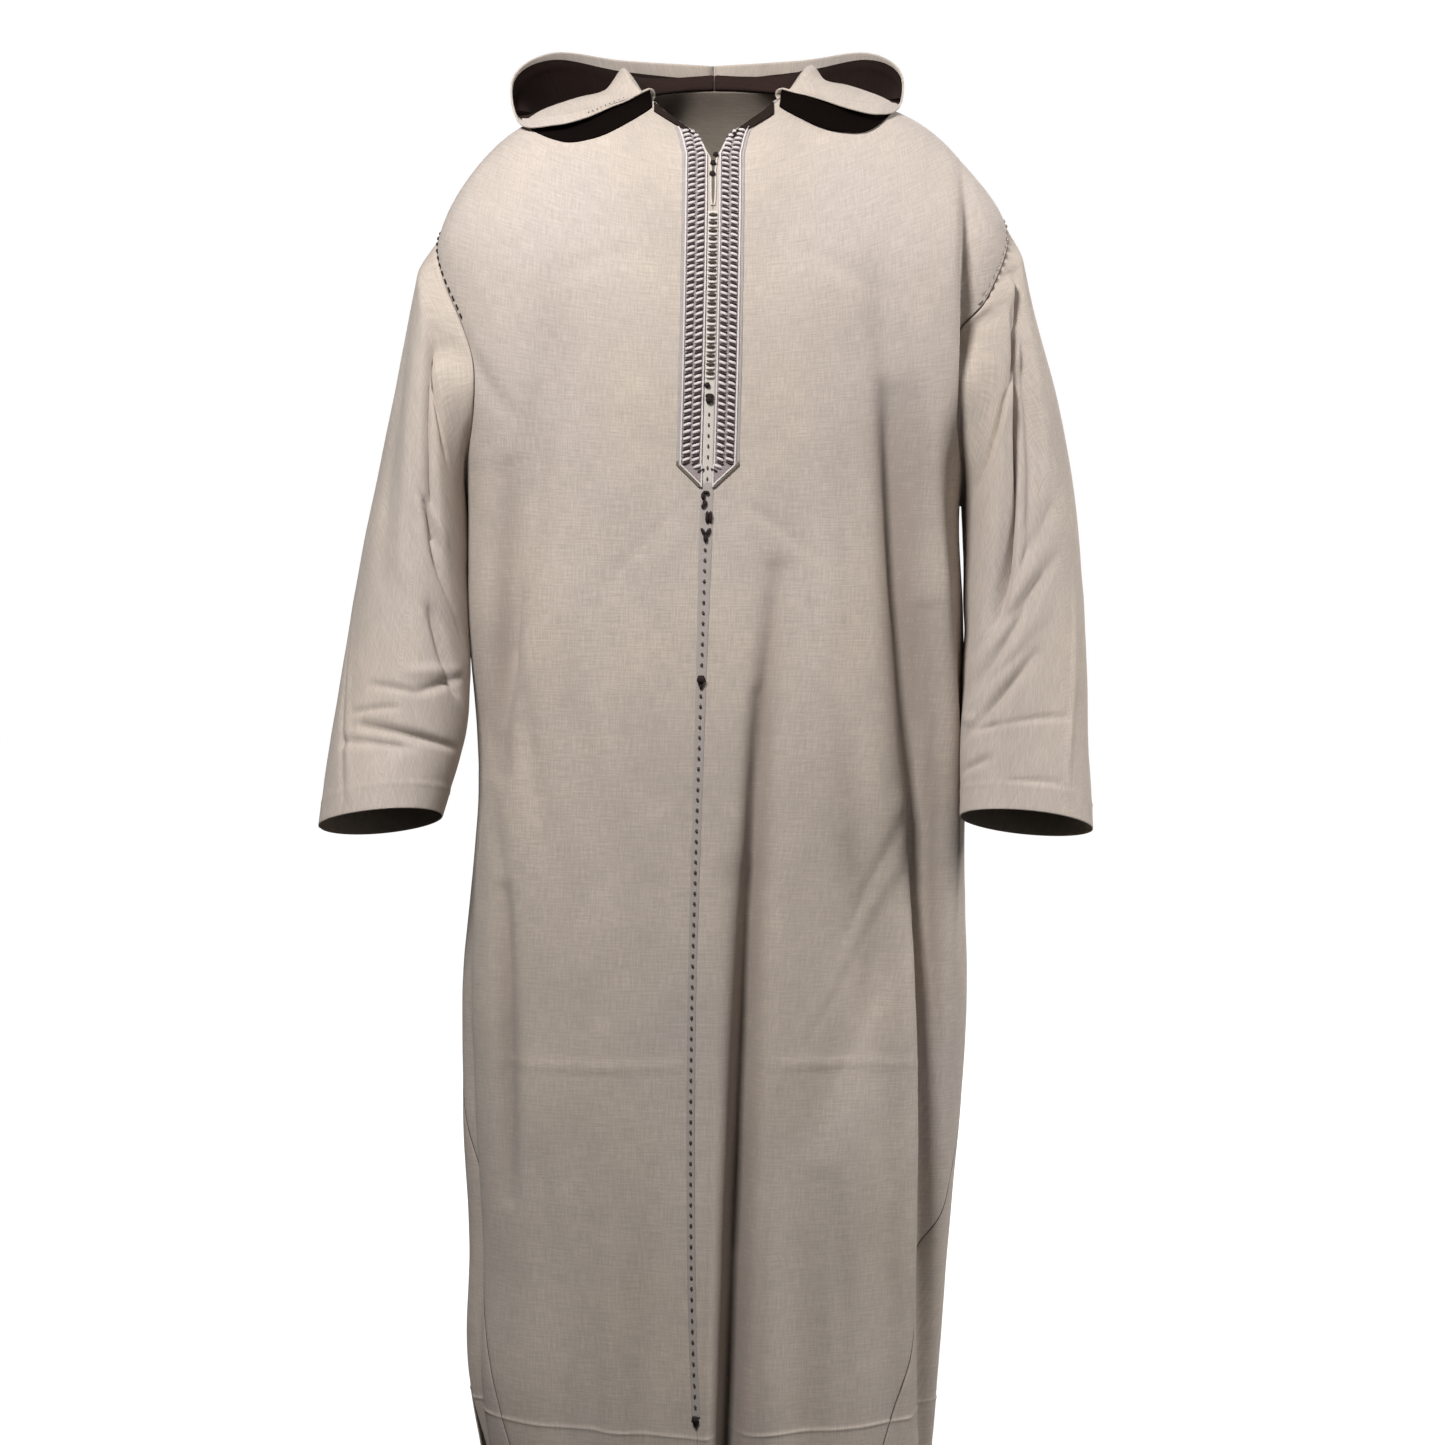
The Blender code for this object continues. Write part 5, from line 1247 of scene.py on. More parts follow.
def hood_surface(table, side, share, out):
    """The hood's cloth, by share of the way to the centre back and from the neck edge."""
    size = {name: read_table(table, HOOD_COLUMNS, "share", share, name)
            for name in HOOD_COLUMNS[1:]}
    neck_angle = side * np.radians(size["neck_angle"])
    floor_angle = side * np.radians(size["floor_angle"])
    heading = np.stack([np.sin(floor_angle), -np.cos(floor_angle), np.zeros(len(share))], axis=1)
    upward = np.array([0.0, 0.0, 1.0])
    neck = body_surface(neck_angle, np.zeros(len(share)))
    rise = unit(neck - body_surface(neck_angle, np.full(len(share), HOOD_RISE)))
    roll = neck + heading * HOOD_ROLL_OUT + upward * size["roll_up"][:, None]
    lie, slope, floor = (
        over_body(neck_angle * (1 - turned) + floor_angle * turned, size["floor_down"] * low,
                  size["floor_clear"] + above)
        for turned, low, above in HOOD_LIES)
    rim = np.stack([side * size["rim_x"], size["rim_y"], size["rim_z"]], axis=1)
    wall = (floor + rim) / 2 + heading * size["wall_out"][:, None]
    seam = neck + rise * HOOD_LIFT
    stops = np.stack([seam, neck + rise * HOOD_RISE, roll, lie, slope, floor, wall, rim])
    keys = np.array(HOOD_STOPS)
    along = keys[:, None, None]
    straight = seam + (rim - seam) * along + rise * HOOD_ARCH * 4 * along * (1 - along)
    shaped = smooth_step(share / HOOD_STRAIGHT)[:, None]
    stops = straight * (1 - shaped) + stops * shaped
    slopes = np.gradient(stops, keys, axis=0)
    hangs = smooth_step((share - 0.5) / 0.3)[:, None]
    slopes[HOOD_FLOOR_STOP] *= 1 - hangs * upward
    slopes[HOOD_FLOOR_STOP] += heading * hangs * HOOD_TURN
    return through_stops(stops, slopes, keys, out)


def dress_hood(name, side, table, materials):
    """Half of the hood, from the front of the neck to the centre back, with its turned rim."""
    border = np.linspace(*HOOD_PALE_END, HOOD_BORDER_COLUMNS)
    share = np.unique(np.concatenate([np.linspace(0, 1, HOOD_FINE_COLUMNS), border]))
    edge = 1 - np.array(EDGE_LINES[1:4]) / HOOD_DEPTH
    out = np.unique(np.concatenate([np.linspace(0, 1, HOOD_FINE_ROWS), edge]))
    middle = hood_surface(table, side, share, out)
    middle[:, -1, 0] = side * HALF_GAP
    normals = -side * grid_normals(middle, False)
    neck_angle = side * np.radians(read_table(table, HOOD_COLUMNS, "share", share, "neck_angle"))
    normals[0] = unit(normals[0] + 2 * body_normals(neck_angle, np.zeros(len(share))))
    normals[1] += normals[0]
    normals[:, -1, 0] = 0
    normals = unit(normals)
    down, across = path_lengths(middle, 0), path_lengths(middle, 1)
    from_ends = np.minimum(across, across[:, -1:] - across)
    calm = smooth_step(down / HOOD_NECK_CALM) * smooth_step(from_ends / HOOD_END_CALM)
    soft = ripples(across * HOOD_RIPPLE_ACROSS + 3 * side, down * HOOD_RIPPLE_DOWN) * calm
    middle = middle + normals * (soft - turned_edge(RIM_TURN - (down[-1:] - down)))[..., None]
    thickness = edge_thickness(edge_distance(middle, False))
    uv = np.stack([across, down], axis=-1)
    # Inside the hood, the faces nearer the neck than the pale border get the painted shade.
    shown = straight_read(HOOD_PALE, HOOD_PALE_COLUMNS, "share", share, "out")
    dark = out[:-1, None] < shown[None, :-1]
    return wall_piece(name + "_cloth", middle, normals, thickness, uv, False, materials, slots=dark)


def dress_shade_below_hood(side, word, table, finish):
    """A dark sheet of painted shade under the hood's front roll, from its rim down to the chest."""
    stops = table_column(HOOD_UNDER, HOOD_UNDER_COLUMNS, "share")
    share = np.linspace(stops[0], stops[-1], HOOD_UNDER_COLUMN_COUNT)
    top = hood_surface(table, side, share, np.array([HOOD_UNDER_OUT]))[0]
    reach = read_table(HOOD_UNDER, HOOD_UNDER_COLUMNS, "share", share, "reach")
    downs = np.linspace(*HOOD_UNDER_DOWNS, CHEST_STEPS)[:, None] * np.ones(len(share))
    chest = body_surface(angle_at(top[:, 0] * HOOD_UNDER_IN, downs), downs)
    low_z = top[:, 2] - reach
    found = np.array([np.interp(-low_z[j], -chest[:, j, 2], downs[:, j]) for j in range(len(share))])
    clear = np.full(len(share), HOOD_UNDER_CLEAR)
    low = over_body(angle_at(top[:, 0] * HOOD_UNDER_IN, found), found, clear)
    t = np.linspace(0, 1, HOOD_UNDER_ROW_COUNT)[:, None, None]
    middle = top * (1 - t) + low * t
    middle[..., 1] += HOOD_UNDER_BULGE * np.sin(math.pi * t[..., 0])
    normals = grid_normals(middle, False)
    normals *= -np.sign(normals[..., 1].mean())
    uv = np.stack([path_lengths(middle, 1), path_lengths(middle, 0)], axis=-1)
    even = np.ones(middle.shape[:2])
    return wall_piece("shade_below_hood_" + word, middle, normals, even, uv, False, [finish], HOOD_UNDER_HALF)


class Bundle:
    """Points and faces of many small shapes that become one piece."""

    def __init__(self):
        self.verts = []
        self.quads = []
        self.count = 0

    def add(self, verts, quads):
        """Takes one more shape."""
        self.verts.append(verts)
        self.quads.append(np.asarray(quads) + self.count)
        self.count += len(verts)

    def piece(self, name, material):
        """Makes the piece, with UVs that unroll along its own X and Z."""
        verts = np.concatenate(self.verts)
        quads = np.concatenate(self.quads)
        uv = verts[quads.ravel()][:, [0, 2]]
        return piece_mesh(name, verts, quads, uv, np.zeros(len(quads)), [material])


def tube_faces(rows, sides):
    """The faces of rings of points that make a tube with closed ends."""
    i, j = np.meshgrid(np.arange(rows - 1), np.arange(sides), indexing="ij")
    k = (j + 1) % sides
    quads = np.stack([i * sides + j, i * sides + k, (i + 1) * sides + k, (i + 1) * sides + j], axis=-1)
    low = (rows - 1) * sides
    caps = []
    for m in range(sides // 2 - 1):
        cap = np.array([m, m + 1, sides - m - 2, sides - m - 1])
        caps += [cap, low + cap[::-1]]
    return np.concatenate([quads.reshape(-1, 4), np.array(caps)])


def tube_shape(path, normals, radii, sides=6, twist=0.0, strands=0):
    """A tube along a path. Strands give it a rope's grooves, which turn by twist a metre."""
    tangent = unit(np.gradient(path, axis=0))
    across = unit(np.cross(tangent, normals))
    up = np.cross(across, tangent)
    angle = np.linspace(0, 2 * math.pi, sides, endpoint=False)
    length = np.append(0, np.cumsum(np.linalg.norm(np.diff(path, axis=0), axis=1)))
    radius = np.broadcast_to(np.asarray(radii, float), len(path))[:, None] * np.ones(sides)
    if strands:
        radius = radius * (1 + ROPE_DEPTH * np.cos(strands * (angle[None, :] - twist * length[:, None])))
    verts = (path[:, None] + across[:, None] * (radius * np.cos(angle))[..., None]
             + up[:, None] * (radius * np.sin(angle))[..., None])
    return verts.reshape(-1, 3), tube_faces(len(path), sides)


def rope_shape(path, normals, radius, sides=8):
    """A tube along a path, grooved as a rope of two strands."""
    return tube_shape(path, normals, radius, sides, math.pi / CORD_LAY, 2)


# A stitch's path: shares of its length, its roundness there, and its height over the cloth.
STITCH_PLACES = np.array([0.0, 0.10, 0.32, 0.68, 0.90, 1.0])
STITCH_ROUND = np.array([0.35, 0.78, 1.0, 1.0, 0.78, 0.35])
STITCH_ARCH = np.array([0.0, 0.45, 1.0, 1.0, 0.45, 0.0])


def stitch_shape(start, end, normal, radius, arch, sides=6):
    """One thread that comes up at the start, lies on the cloth, and goes down at the end."""
    path = start + (end - start) * STITCH_PLACES[:, None] + normal * (STITCH_ARCH * arch)[:, None]
    return tube_shape(path, np.broadcast_to(normal, path.shape), STITCH_ROUND * radius, sides)


def sew(bundle, starts, ends, normals, radius, arch, sides=6):
    """Adds a stitch for each pair of points."""
    for start, end, normal in zip(starts, ends, normals):
        bundle.add(*stitch_shape(start, end, normal, radius, arch, sides))


def ball_shape(centre, normal, radius, flat=0.8, lobes=5):
    """A small knot: a ball with the lobes of a knotted cord."""
    up = np.asarray(normal, float)
    side_a = unit(np.cross(up, (0.0, 0.0, 1.0)))
    side_b = np.cross(up, side_a)
    v = np.linspace(BALL_POLE, math.pi - BALL_POLE, BALL_ROWS)[:, None]
    u = np.linspace(0, 2 * math.pi, BALL_SIDES, endpoint=False)[None, :]
    swell = radius * (1 + BALL_SWELL * np.cos(lobes * u + 3 * v) * np.sin(v))
    verts = (np.asarray(centre) + (swell * np.sin(v) * np.cos(u))[..., None] * side_a
             + (swell * np.sin(v) * np.sin(u))[..., None] * side_b
             + (swell * flat * np.cos(v) * np.ones_like(u))[..., None] * up)
    return verts.reshape(-1, 3), tube_faces(BALL_ROWS, BALL_SIDES)


def seam_spots(lines, downs, height):
    """Points over the front's cloth by their distance from the centre seam, and the normals."""
    lines, downs = np.broadcast_arrays(np.asarray(lines, float), np.asarray(downs, float))
    angles = angle_at(seam_offset(downs) + lines, downs)
    normals = cloth_normals(angles, downs)
    return cloth(angles, downs) + normals * np.asarray(height)[..., None], normals


def sew_down(bundle, sway, places, half, height, radius, arch):
    """Adds a short stitch down the seam at each place, with its ends swayed to either side."""
    starts, normals = seam_spots(sway, places - half, height)
    ends, _ = seam_spots(-sway, places + half, height)
    sew(bundle, starts, ends, normals, radius, arch)


def band_inner(down):
    """How far from the seam a band's inner edge lies, which runs out beside the neck's V."""
    return np.maximum(BAND_INNER, opening(down) + OPENING_INSET)


def band_outer(down):
    """How far from the seam a band's outer edge lies, which runs in to its point below."""
    pushed = BAND_BEND * (band_inner(down) - BAND_INNER)
    edge = np.interp(down, (BAND_SHOULDER, BAND_POINT), (BAND_EDGE, BAND_POINT_WIDTH))
    return edge + pushed


def band_place(line, down):
    """Where one of a band's lines lies, squeezed by the V above and cut by the point below."""
    inner = band_inner(down)
    edge = BAND_EDGE + BAND_BEND * (inner - BAND_INNER)
    spread = inner + (edge - inner) * (line - BAND_INNER) / (BAND_EDGE - BAND_INNER)
    return np.minimum(spread, np.maximum(band_outer(down) - (BAND_EDGE - line), inner))


def flat_strip(name, places, downs, base, height, material):
    """A flat strip over the front's cloth, between the lines of a grid of places off the seam."""
    places, downs = np.broadcast_arrays(places, downs[:, None])
    surface, normals = seam_spots(places, downs, 0.0)
    inward = np.clip(1 - edge_distance(surface, False) / STRIP_ROUND, 0, 1)
    share = np.sqrt(1 - inward**2) * (1 - STRIP_THIN) + STRIP_THIN
    half = (height - base) / 2
    middle = surface + normals * (base + half * share)[..., None]
    uv = np.stack([np.abs(places), downs], axis=-1)
    return wall_piece(name, middle, normals, share, uv, False, [material], half)


def slanted_stitches(side, line, places, radius, height, bundle, rng):
    """A column of a band's slanted stitches, with their outer ends lower."""
    squeeze = (band_place(line + 0.001, places) - band_place(line - 0.001, places)) / 0.002
    centre = band_place(line, places)
    half = BRAID_HALF * np.clip(squeeze, 0.35, 1)
    shift = rng.uniform(-BRAID_JITTER, BRAID_JITTER, (2, len(places)))
    starts, normals = seam_spots(side * (centre - half), places - BRAID_SLANT / 2 + shift[0], height)
    ends, _ = seam_spots(side * (centre + half), places + BRAID_SLANT / 2 + shift[1], height)
    sew(bundle, starts, ends, normals, radius, radius * 0.6)


def dress_band(side, word, finishes):
    """One braided band of the placket: its tape, ground, cords, slanted stitches and edge."""
    straight = np.linspace(BAND_TOP, BAND_SHOULDER, BAND_ROWS)
    downs = np.concatenate([straight, np.linspace(BAND_SHOULDER, BAND_POINT, POINT_ROWS)[1:]])
    share = close_ended(BAND_LINES)[None, :]
    inner, outer = band_place(BAND_INNER, downs)[:, None], band_outer(downs)[:, None]
    tape = flat_strip("placket_" + word + "_tape", side * (inner + (outer - inner) * share), downs,
                      TAPE_BASE, TAPE_HEIGHT, finishes["tape"])
    low, high = band_place(GROUND[0], downs)[:, None], band_place(GROUND[1], downs)[:, None]
    keep = (high - low)[:, 0] > GROUND_LEAST
    low, high = low[keep], high[keep]
    ground = flat_strip("placket_ground_" + word, side * (low + (high - low) * share), downs[keep],
                        GROUND_BASE, GROUND_HEIGHT, finishes["ground"])
    cords = Bundle()
    for line in (CORD_INNER, CORD_OUTER):
        path, normals = seam_spots(side * band_place(line, downs), downs, CORD_HEIGHT)
        cords.add(*rope_shape(path, normals, CORD_RADIUS))
    point = np.linspace(BAND_SHOULDER - 0.004, BAND_POINT, 24)
    path, normals = seam_spots(side * (band_outer(point) - POINT_CORD_RADIUS), point, TAPE_HEIGHT)
    edge = Bundle()
    edge.add(*rope_shape(path, normals, POINT_CORD_RADIUS))
    braid, dashes = Bundle(), Bundle()
    rng = np.random.default_rng(BRAID_SEEDS[side])
    for line in BRAID_LINES:
        places = np.arange(BAND_TOP + 0.006, BAND_POINT, BRAID_PITCH)
        room = band_outer(places + BRAID_SLANT) - (BAND_EDGE - GROUND[1]) - line
        places = places[room > BRAID_HALF * 0.5]
        slanted_stitches(side, line, places, BRAID_RADIUS, BRAID_HEIGHT, braid, rng)
        slanted_stitches(side, line, places + BRAID_PITCH / 2, DASH_RADIUS, DASH_HEIGHT, dashes, rng)
    pieces = [ground, cords.piece("placket_cords_" + word, finishes["cord"]),
              edge.piece("placket_point_" + word, finishes["olive"]),
              braid.piece("placket_braid_" + word, finishes["stitch"]),
              dashes.piece("placket_dashes_" + word, finishes["dash"])]
    return tape, pieces


def dress_buttons(finishes):
    """The strip between the bands, with its knot buttons, pale loops and dots below."""
    downs = np.linspace(BUTTON_TOP - STRIP_END, BAND_POINT - STRIP_END, STRIP_ROWS)
    places = (close_ended(STRIP_LINES) * 2 - 1)[None, :] * STRIP_HALF * np.ones((len(downs), 1))
    strip = flat_strip("button_strip", places, downs, TAPE_BASE, STRIP_HEIGHT, finishes["pale"])
    loops, knots, dots = Bundle(), Bundle(), Bundle()
    pitch = (BUTTON_LOW - BUTTON_TOP) / BUTTON_COUNT
    middles = BUTTON_TOP + pitch * (np.arange(BUTTON_COUNT) + 0.5)
    for bundle, (lift, half, radius) in ((loops, BUTTON_LOOP), (knots, BUTTON_BAR)):
        starts, normals = seam_spots(-half, middles + lift * pitch, BUTTON_HEIGHT)
        ends, _ = seam_spots(half, middles + lift * pitch, BUTTON_HEIGHT)
        sew(bundle, starts, ends, normals, radius, BUTTON_ARCH, 8)
    centres, normals = seam_spots(0.0, middles + BUTTON_BAR[0] * pitch, BUTTON_KNOT_HEIGHT)
    for centre, normal in zip(centres, normals):
        knots.add(*ball_shape(centre, normal, BUTTON_KNOT))
    places = np.arange(BUTTON_LOW + STRIP_DOTS_FROM, BAND_POINT - DOTS_SHORT, STRIP_DOT_PITCH)
    sew_down(dots, np.zeros(len(places)), places, *STRIP_DOT)
    return strip, [loops.piece("button_loops", finishes["cord"]),
                   knots.piece("button_knots", finishes["bar"]),
                   dots.piece("strip_dots", finishes["dot"])]


def dress_motif(name, finishes):
    """One of the small sewn ornaments on the centre seam, made of knots and thick stitches."""
    motif = next(row for row in fold_rows(MOTIF_COLUMNS, MOTIFS) if row["name"] == name)
    top, length = motif["top"], motif["low"] - motif["top"]
    bundle = Bundle()
    for kind, x_a, t_a, x_b, t_b, size in ORNAMENTS[name]:
        lines = np.array([x_a, x_b]) * motif["half_width"] + motif["offset"]
        spots, normals = seam_spots(lines, top + length * np.array([t_a, t_b]), MOTIF_HEIGHT)
        if kind == "knot":
            bundle.add(*ball_shape(spots[0] + normals[0] * size * 0.4, normals[0], size))
        else:
            bundle.add(*stitch_shape(spots[0], spots[1], normals[0], size, size * 0.7, 8))
    return bundle.piece(name + "_thread", finishes["knot"])


def dress_seam(finishes):
    """The sewn band that covers the centre seam below the placket, and its row of dots."""
    stops = table_column(SEAM_BAND, SEAM_BAND_COLUMNS, "down")
    downs = np.linspace(stops[0], stops[-1], SEAM_ROWS)
    half = straight_read(SEAM_BAND, SEAM_BAND_COLUMNS, "down", downs, "half_width")
    places = (close_ended(SEAM_LINES) * 2 - 1)[None, :] * half[:, None]
    band = flat_strip("seam_band", places, downs, TAPE_BASE, SEAM_HEIGHT, finishes["seam"])
    motifs = {row["name"]: row for row in fold_rows(MOTIF_COLUMNS, MOTIFS)}
    start = motifs["motif_lower"]["low"] + DOTS_FROM
    places = np.arange(start, stops[-1] - DOTS_SHORT, SEAM_DOT_PITCH)
    places = places[np.abs(places - motifs["waist_knot"]["top"] - KNOT_MIDDLE) > KNOT_CLEAR]
    sway = DOT_SWAY * np.where(np.arange(len(places)) % 2, 1, -1)
    dots = Bundle()
    sew_down(dots, sway, places, *SEAM_DOT)
    return [band, dots.piece("seam_dots", finishes["dot"])]


def dress_gore_seams(side, word, finishes):
    """The thread that shows in the seams of one side's gores."""
    downs = np.linspace(GORE_TOP + GORE_THREAD_FROM, HEM_DOWN - WALL, GORE_THREAD_ROWS)
    thread = Bundle()
    for angles in (side * gore_angle(downs, side), side * (math.pi - gore_angle(downs, side))):
        normals = cloth_normals(angles, downs)
        path = cloth(angles, downs) + normals * THREAD_HEIGHT
        thread.add(*rope_shape(path, normals, THREAD_RADIUS, 6))
    return thread.piece("gore_seams_" + word, finishes["thread"])


def dress_neck(side, word, finishes):
    """The cord that edges one side of the neck's V and slit."""
    top_angle = abs(float(angle_at(np.array(side * opening(0.0)), np.array(0.0))))
    neck = side * np.linspace(NECK_CORD_TURN, top_angle, 16)
    downs = np.linspace(NECK_CORD_TOP, NECK_CORD_LOW, 90)
    slit = angle_at(seam_offset(downs) + side * (opening(downs) + 0.0005), downs)
    angles = np.concatenate([neck[:-1], slit])
    downs = np.concatenate([np.full(len(neck) - 1, NECK_CORD_TOP), downs])
    normals = cloth_normals(angles, downs)
    path = cloth(angles, downs) + normals * NECK_CORD_HEIGHT
    bundle = Bundle()
    bundle.add(*rope_shape(path, normals, NECK_CORD_RADIUS))
    return bundle.piece("neck_cord_" + word, finishes["pale"])


def dress_neck_shade(side, word, finish):
    """A dark strip of painted shade that edges the neck from the hood's front end down to the placket."""
    edge = np.linspace(*NECK_SHADE_DOWNS, 30)
    reach = np.interp(edge, NECK_SHADE_DOWNS, NECK_SHADE_REACH[word])[:, None]
    downs = edge[:, None] + reach * close_ended(9)[None, :]
    places = side * (opening(edge) + OPENING_INSET)[:, None] * np.ones(9)
    middle, normals = seam_spots(places, downs, NECK_SHADE_HEIGHT)
    uv = np.stack([np.abs(places), downs], axis=-1)
    even = np.ones(downs.shape)
    return wall_piece("neck_shade_" + word, middle, normals, even, uv, False, [finish], NECK_SHADE_HALF)


def dress_armhole(side, word, finish):
    """The row of stitches beside the upper part of one armhole's seam."""
    edge, outward, into = armhole_frame(side, ARMHOLE_FINE_STEPS)
    ring_points = np.append(edge, edge[:1], axis=0)
    length = np.append(0, np.cumsum(np.linalg.norm(np.diff(ring_points, axis=0), axis=1)))
    at = np.arange(0, length[-1] - ARMHOLE_STITCH, ARMHOLE_PITCH)
    at = at[np.minimum(at, length[-1] - at) < ARMHOLE_SEWN]

    def along(values, places):
        columns = (np.append(column, column[0]) for column in values.T)
        return np.stack([np.interp(places, length, column) for column in columns], axis=1)

    line = edge - into * ARMHOLE_INSET + outward * ARMHOLE_HEIGHT
    bundle = Bundle()
    sew(bundle, along(line, at), along(line, at + ARMHOLE_STITCH), along(outward, at), 0.0010, 0.0005)
    return bundle.piece("armhole_stitches_" + word, finish)


def dress_hood_rim(side, table, finishes):
    """The few stitches that show on the hood's turned rim, at its right front."""
    bundle = Bundle()
    for at in np.linspace(*HOOD_STITCH_SHARES, HOOD_STITCHES):
        near = np.array([at, at + 0.003])
        out = HOOD_STITCH_OUT + HOOD_STITCH_HALF * np.array([-1, 1])
        (start, beside), (end, _) = hood_surface(table, side, near, out)
        normal = unit(np.cross(end - start, beside - start))
        for face in (1, -1):
            lift = normal * face * HOOD_STITCH_HEIGHT
            bundle.add(*stitch_shape(start + lift, end + lift, normal * face, THREAD_RADIUS, 0.0003))
    return bundle.piece("hood_stitches", finishes["bar"])


def shaded(colour, factor):
    """A colour made lighter or darker."""
    return tuple(min(1.0, c * factor) for c in colour)


def shader_node(tree, kind, inputs=None, **settings):
    """One shader node with its settings and its unlinked inputs."""
    made = tree.nodes.new(kind)
    for key, value in settings.items():
        setattr(made, key, value)
    for key, value in (inputs or {}).items():
        made.inputs[key].default_value = value
    return made


def plain_finish(name, colour, roughness=0.85):
    """A material of one colour, with the shader and its tree to work on."""
    material = bpy.data.materials.new(name)
    material.use_nodes = True
    tree = material.node_tree
    shader = tree.nodes["Principled BSDF"]
    shader.inputs["Base Color"].default_value = (*colour, 1)
    shader.inputs["Roughness"].default_value = roughness
    shader.inputs["Specular IOR Level"].default_value = 0.25
    return material, tree, shader


def stretched_noise(tree, uv, scale, detail, offset):
    """Noise over the cloth, scaled by how many times it changes in a metre each way."""
    mapping = shader_node(tree, "ShaderNodeMapping", {"Scale": (*scale, 1.0), "Location": offset})
    noise = shader_node(tree, "ShaderNodeTexNoise", {"Scale": 1.0, "Detail": detail, "Roughness": 0.6})
    tree.links.new(uv.outputs["UV"], mapping.inputs["Vector"])
    tree.links.new(mapping.outputs["Vector"], noise.inputs["Vector"])
    return noise.outputs["Fac"]


def maths(tree, operation, a, b=None, clamp=False):
    """One step of arithmetic on sockets or numbers."""
    made = shader_node(tree, "ShaderNodeMath", operation=operation, use_clamp=clamp)
    for socket, value in zip(made.inputs, (a, b)):
        if value is None:
            continue
        if isinstance(value, (int, float)):
            socket.default_value = value
        else:
            tree.links.new(value, socket)
    return made.outputs["Value"]


def mixed(tree, share, first, second, blend="MIX"):
    """A mix of two colours, each a socket or a colour."""
    made = shader_node(tree, "ShaderNodeMix", data_type="RGBA", blend_type=blend)
    if isinstance(share, (int, float)):
        made.inputs[0].default_value = share
    else:
        tree.links.new(share, made.inputs[0])
    for socket, value in ((made.inputs[6], first), (made.inputs[7], second)):
        if isinstance(value, tuple):
            socket.default_value = (*value, 1)
        else:
            tree.links.new(value, socket)
    return made.outputs[2]


def stretch_range(tree, value, low, high):
    """A value's range from low to high, spread from 0 to 1."""
    made = shader_node(tree, "ShaderNodeMapRange", {"From Min": low, "From Max": high})
    tree.links.new(value, made.inputs["Value"])
    return made.outputs["Result"]


def add_bump(tree, shader, height, strength, distance):
    """Fine relief on a shader."""
    bump = shader_node(tree, "ShaderNodeBump", {"Strength": strength, "Distance": distance})
    tree.links.new(height, bump.inputs["Height"])
    tree.links.new(bump.outputs["Normal"], shader.inputs["Normal"])


def stretch_share(tree, value, low, high, most):
    """A value's range from low to high, spread from 0 to the most that it may be."""
    return maths(tree, "MULTIPLY", stretch_range(tree, value, low, high), most, True)


def woven_finish(name, colour, warm, grey, pitch=THREAD_PITCH, haze=None):
    """Heathered plain weave: uneven threads both ways, with fine bumps where they cross."""
    material, tree, shader = plain_finish(name, colour, 0.92)
    uv = shader_node(tree, "ShaderNodeUVMap", uv_map="cloth")
    layers = (WARP, WEFT, FLECKS, CLOUD)
    warp, weft, flecks, cloud = (stretched_noise(tree, uv, *layer) for layer in layers)
    halves = [maths(tree, "MULTIPLY", threads, 0.5) for threads in (warp, weft)]
    threads = maths(tree, "ADD", *halves)
    tint = mixed(tree, stretch_range(tree, cloud, 0.32, 0.68), grey, warm)
    base = mixed(tree, 0.70, colour, tint)
    if haze:
        slow = stretched_noise(tree, uv, *HAZE)
        base = mixed(tree, stretch_share(tree, slow, 0.46, 0.66, 0.75), base, haze)
        # Painted shade: in its deeper creases the wool turns towards the fold shade colour.
        fold = shader_node(tree, "ShaderNodeAttribute", attribute_name="fold").outputs["Fac"]
        base = mixed(tree, maths(tree, "MULTIPLY", fold, FOLD_SHADE_SHARE, True), base, WOOL_FOLD_SHADE)
    dark, light = shaded(colour, 0.72), shaded(colour, 1.16)
    for value, low, high, most, tone in ((threads, 0.56, 0.38, 0.62, dark),
                                         (threads, 0.50, 0.66, 0.45, light),
                                         (flecks, 0.55, 0.70, 0.42, dark)):
        base = mixed(tree, stretch_share(tree, value, low, high, most), base, tone)
    tree.links.new(base, shader.inputs["Base Color"])
    split = shader_node(tree, "ShaderNodeSeparateXYZ")
    tree.links.new(uv.outputs["UV"], split.inputs["Vector"])
    turns = 2 * math.pi / pitch
    over, under = (maths(tree, "SINE", maths(tree, "MULTIPLY", split.outputs[axis], turns))
                   for axis in "XY")
    cross = maths(tree, "MULTIPLY", maths(tree, "MULTIPLY", over, under), 0.25)
    add_bump(tree, shader, maths(tree, "ADD", cross, threads), 0.42, 0.0006)
    gleam = min(1.0, 2 * colour[0])
    shader.inputs["Sheen Weight"].default_value = 0.12 * gleam
    shader.inputs["Specular IOR Level"].default_value = 0.30 * gleam
    shader.inputs["Sheen Roughness"].default_value = 0.5
    return material


def thread_finish(name, colour, change=0.25):
    """A thread or cord: slightly uneven in colour, with fine fibres in its bump."""
    material, tree, shader = plain_finish(name, colour, 0.8)
    uv = shader_node(tree, "ShaderNodeUVMap", uv_map="cloth")
    fibres = stretched_noise(tree, uv, *FIBRES)
    tones = shaded(colour, 1 - change), shaded(colour, 1 + change)
    base = mixed(tree, stretch_range(tree, fibres, 0.35, 0.65), *tones)
    tree.links.new(base, shader.inputs["Base Color"])
    add_bump(tree, shader, fibres, 0.5, 0.0003)
    return material


def make_finishes():
    """Every finish by its key."""
    finishes = {"wool": woven_finish("wool", WOOL, WOOL_WARM, WOOL_GREY, haze=WOOL_LILAC)}
    for key, name, colour, warm, grey, pitch in WEAVES:
        finishes[key] = woven_finish(name, colour, shaded(colour, warm), shaded(colour, grey), pitch)
    for key, name, colour, change in THREADS:
        finishes[key] = thread_finish(name, colour, change)
    return finishes


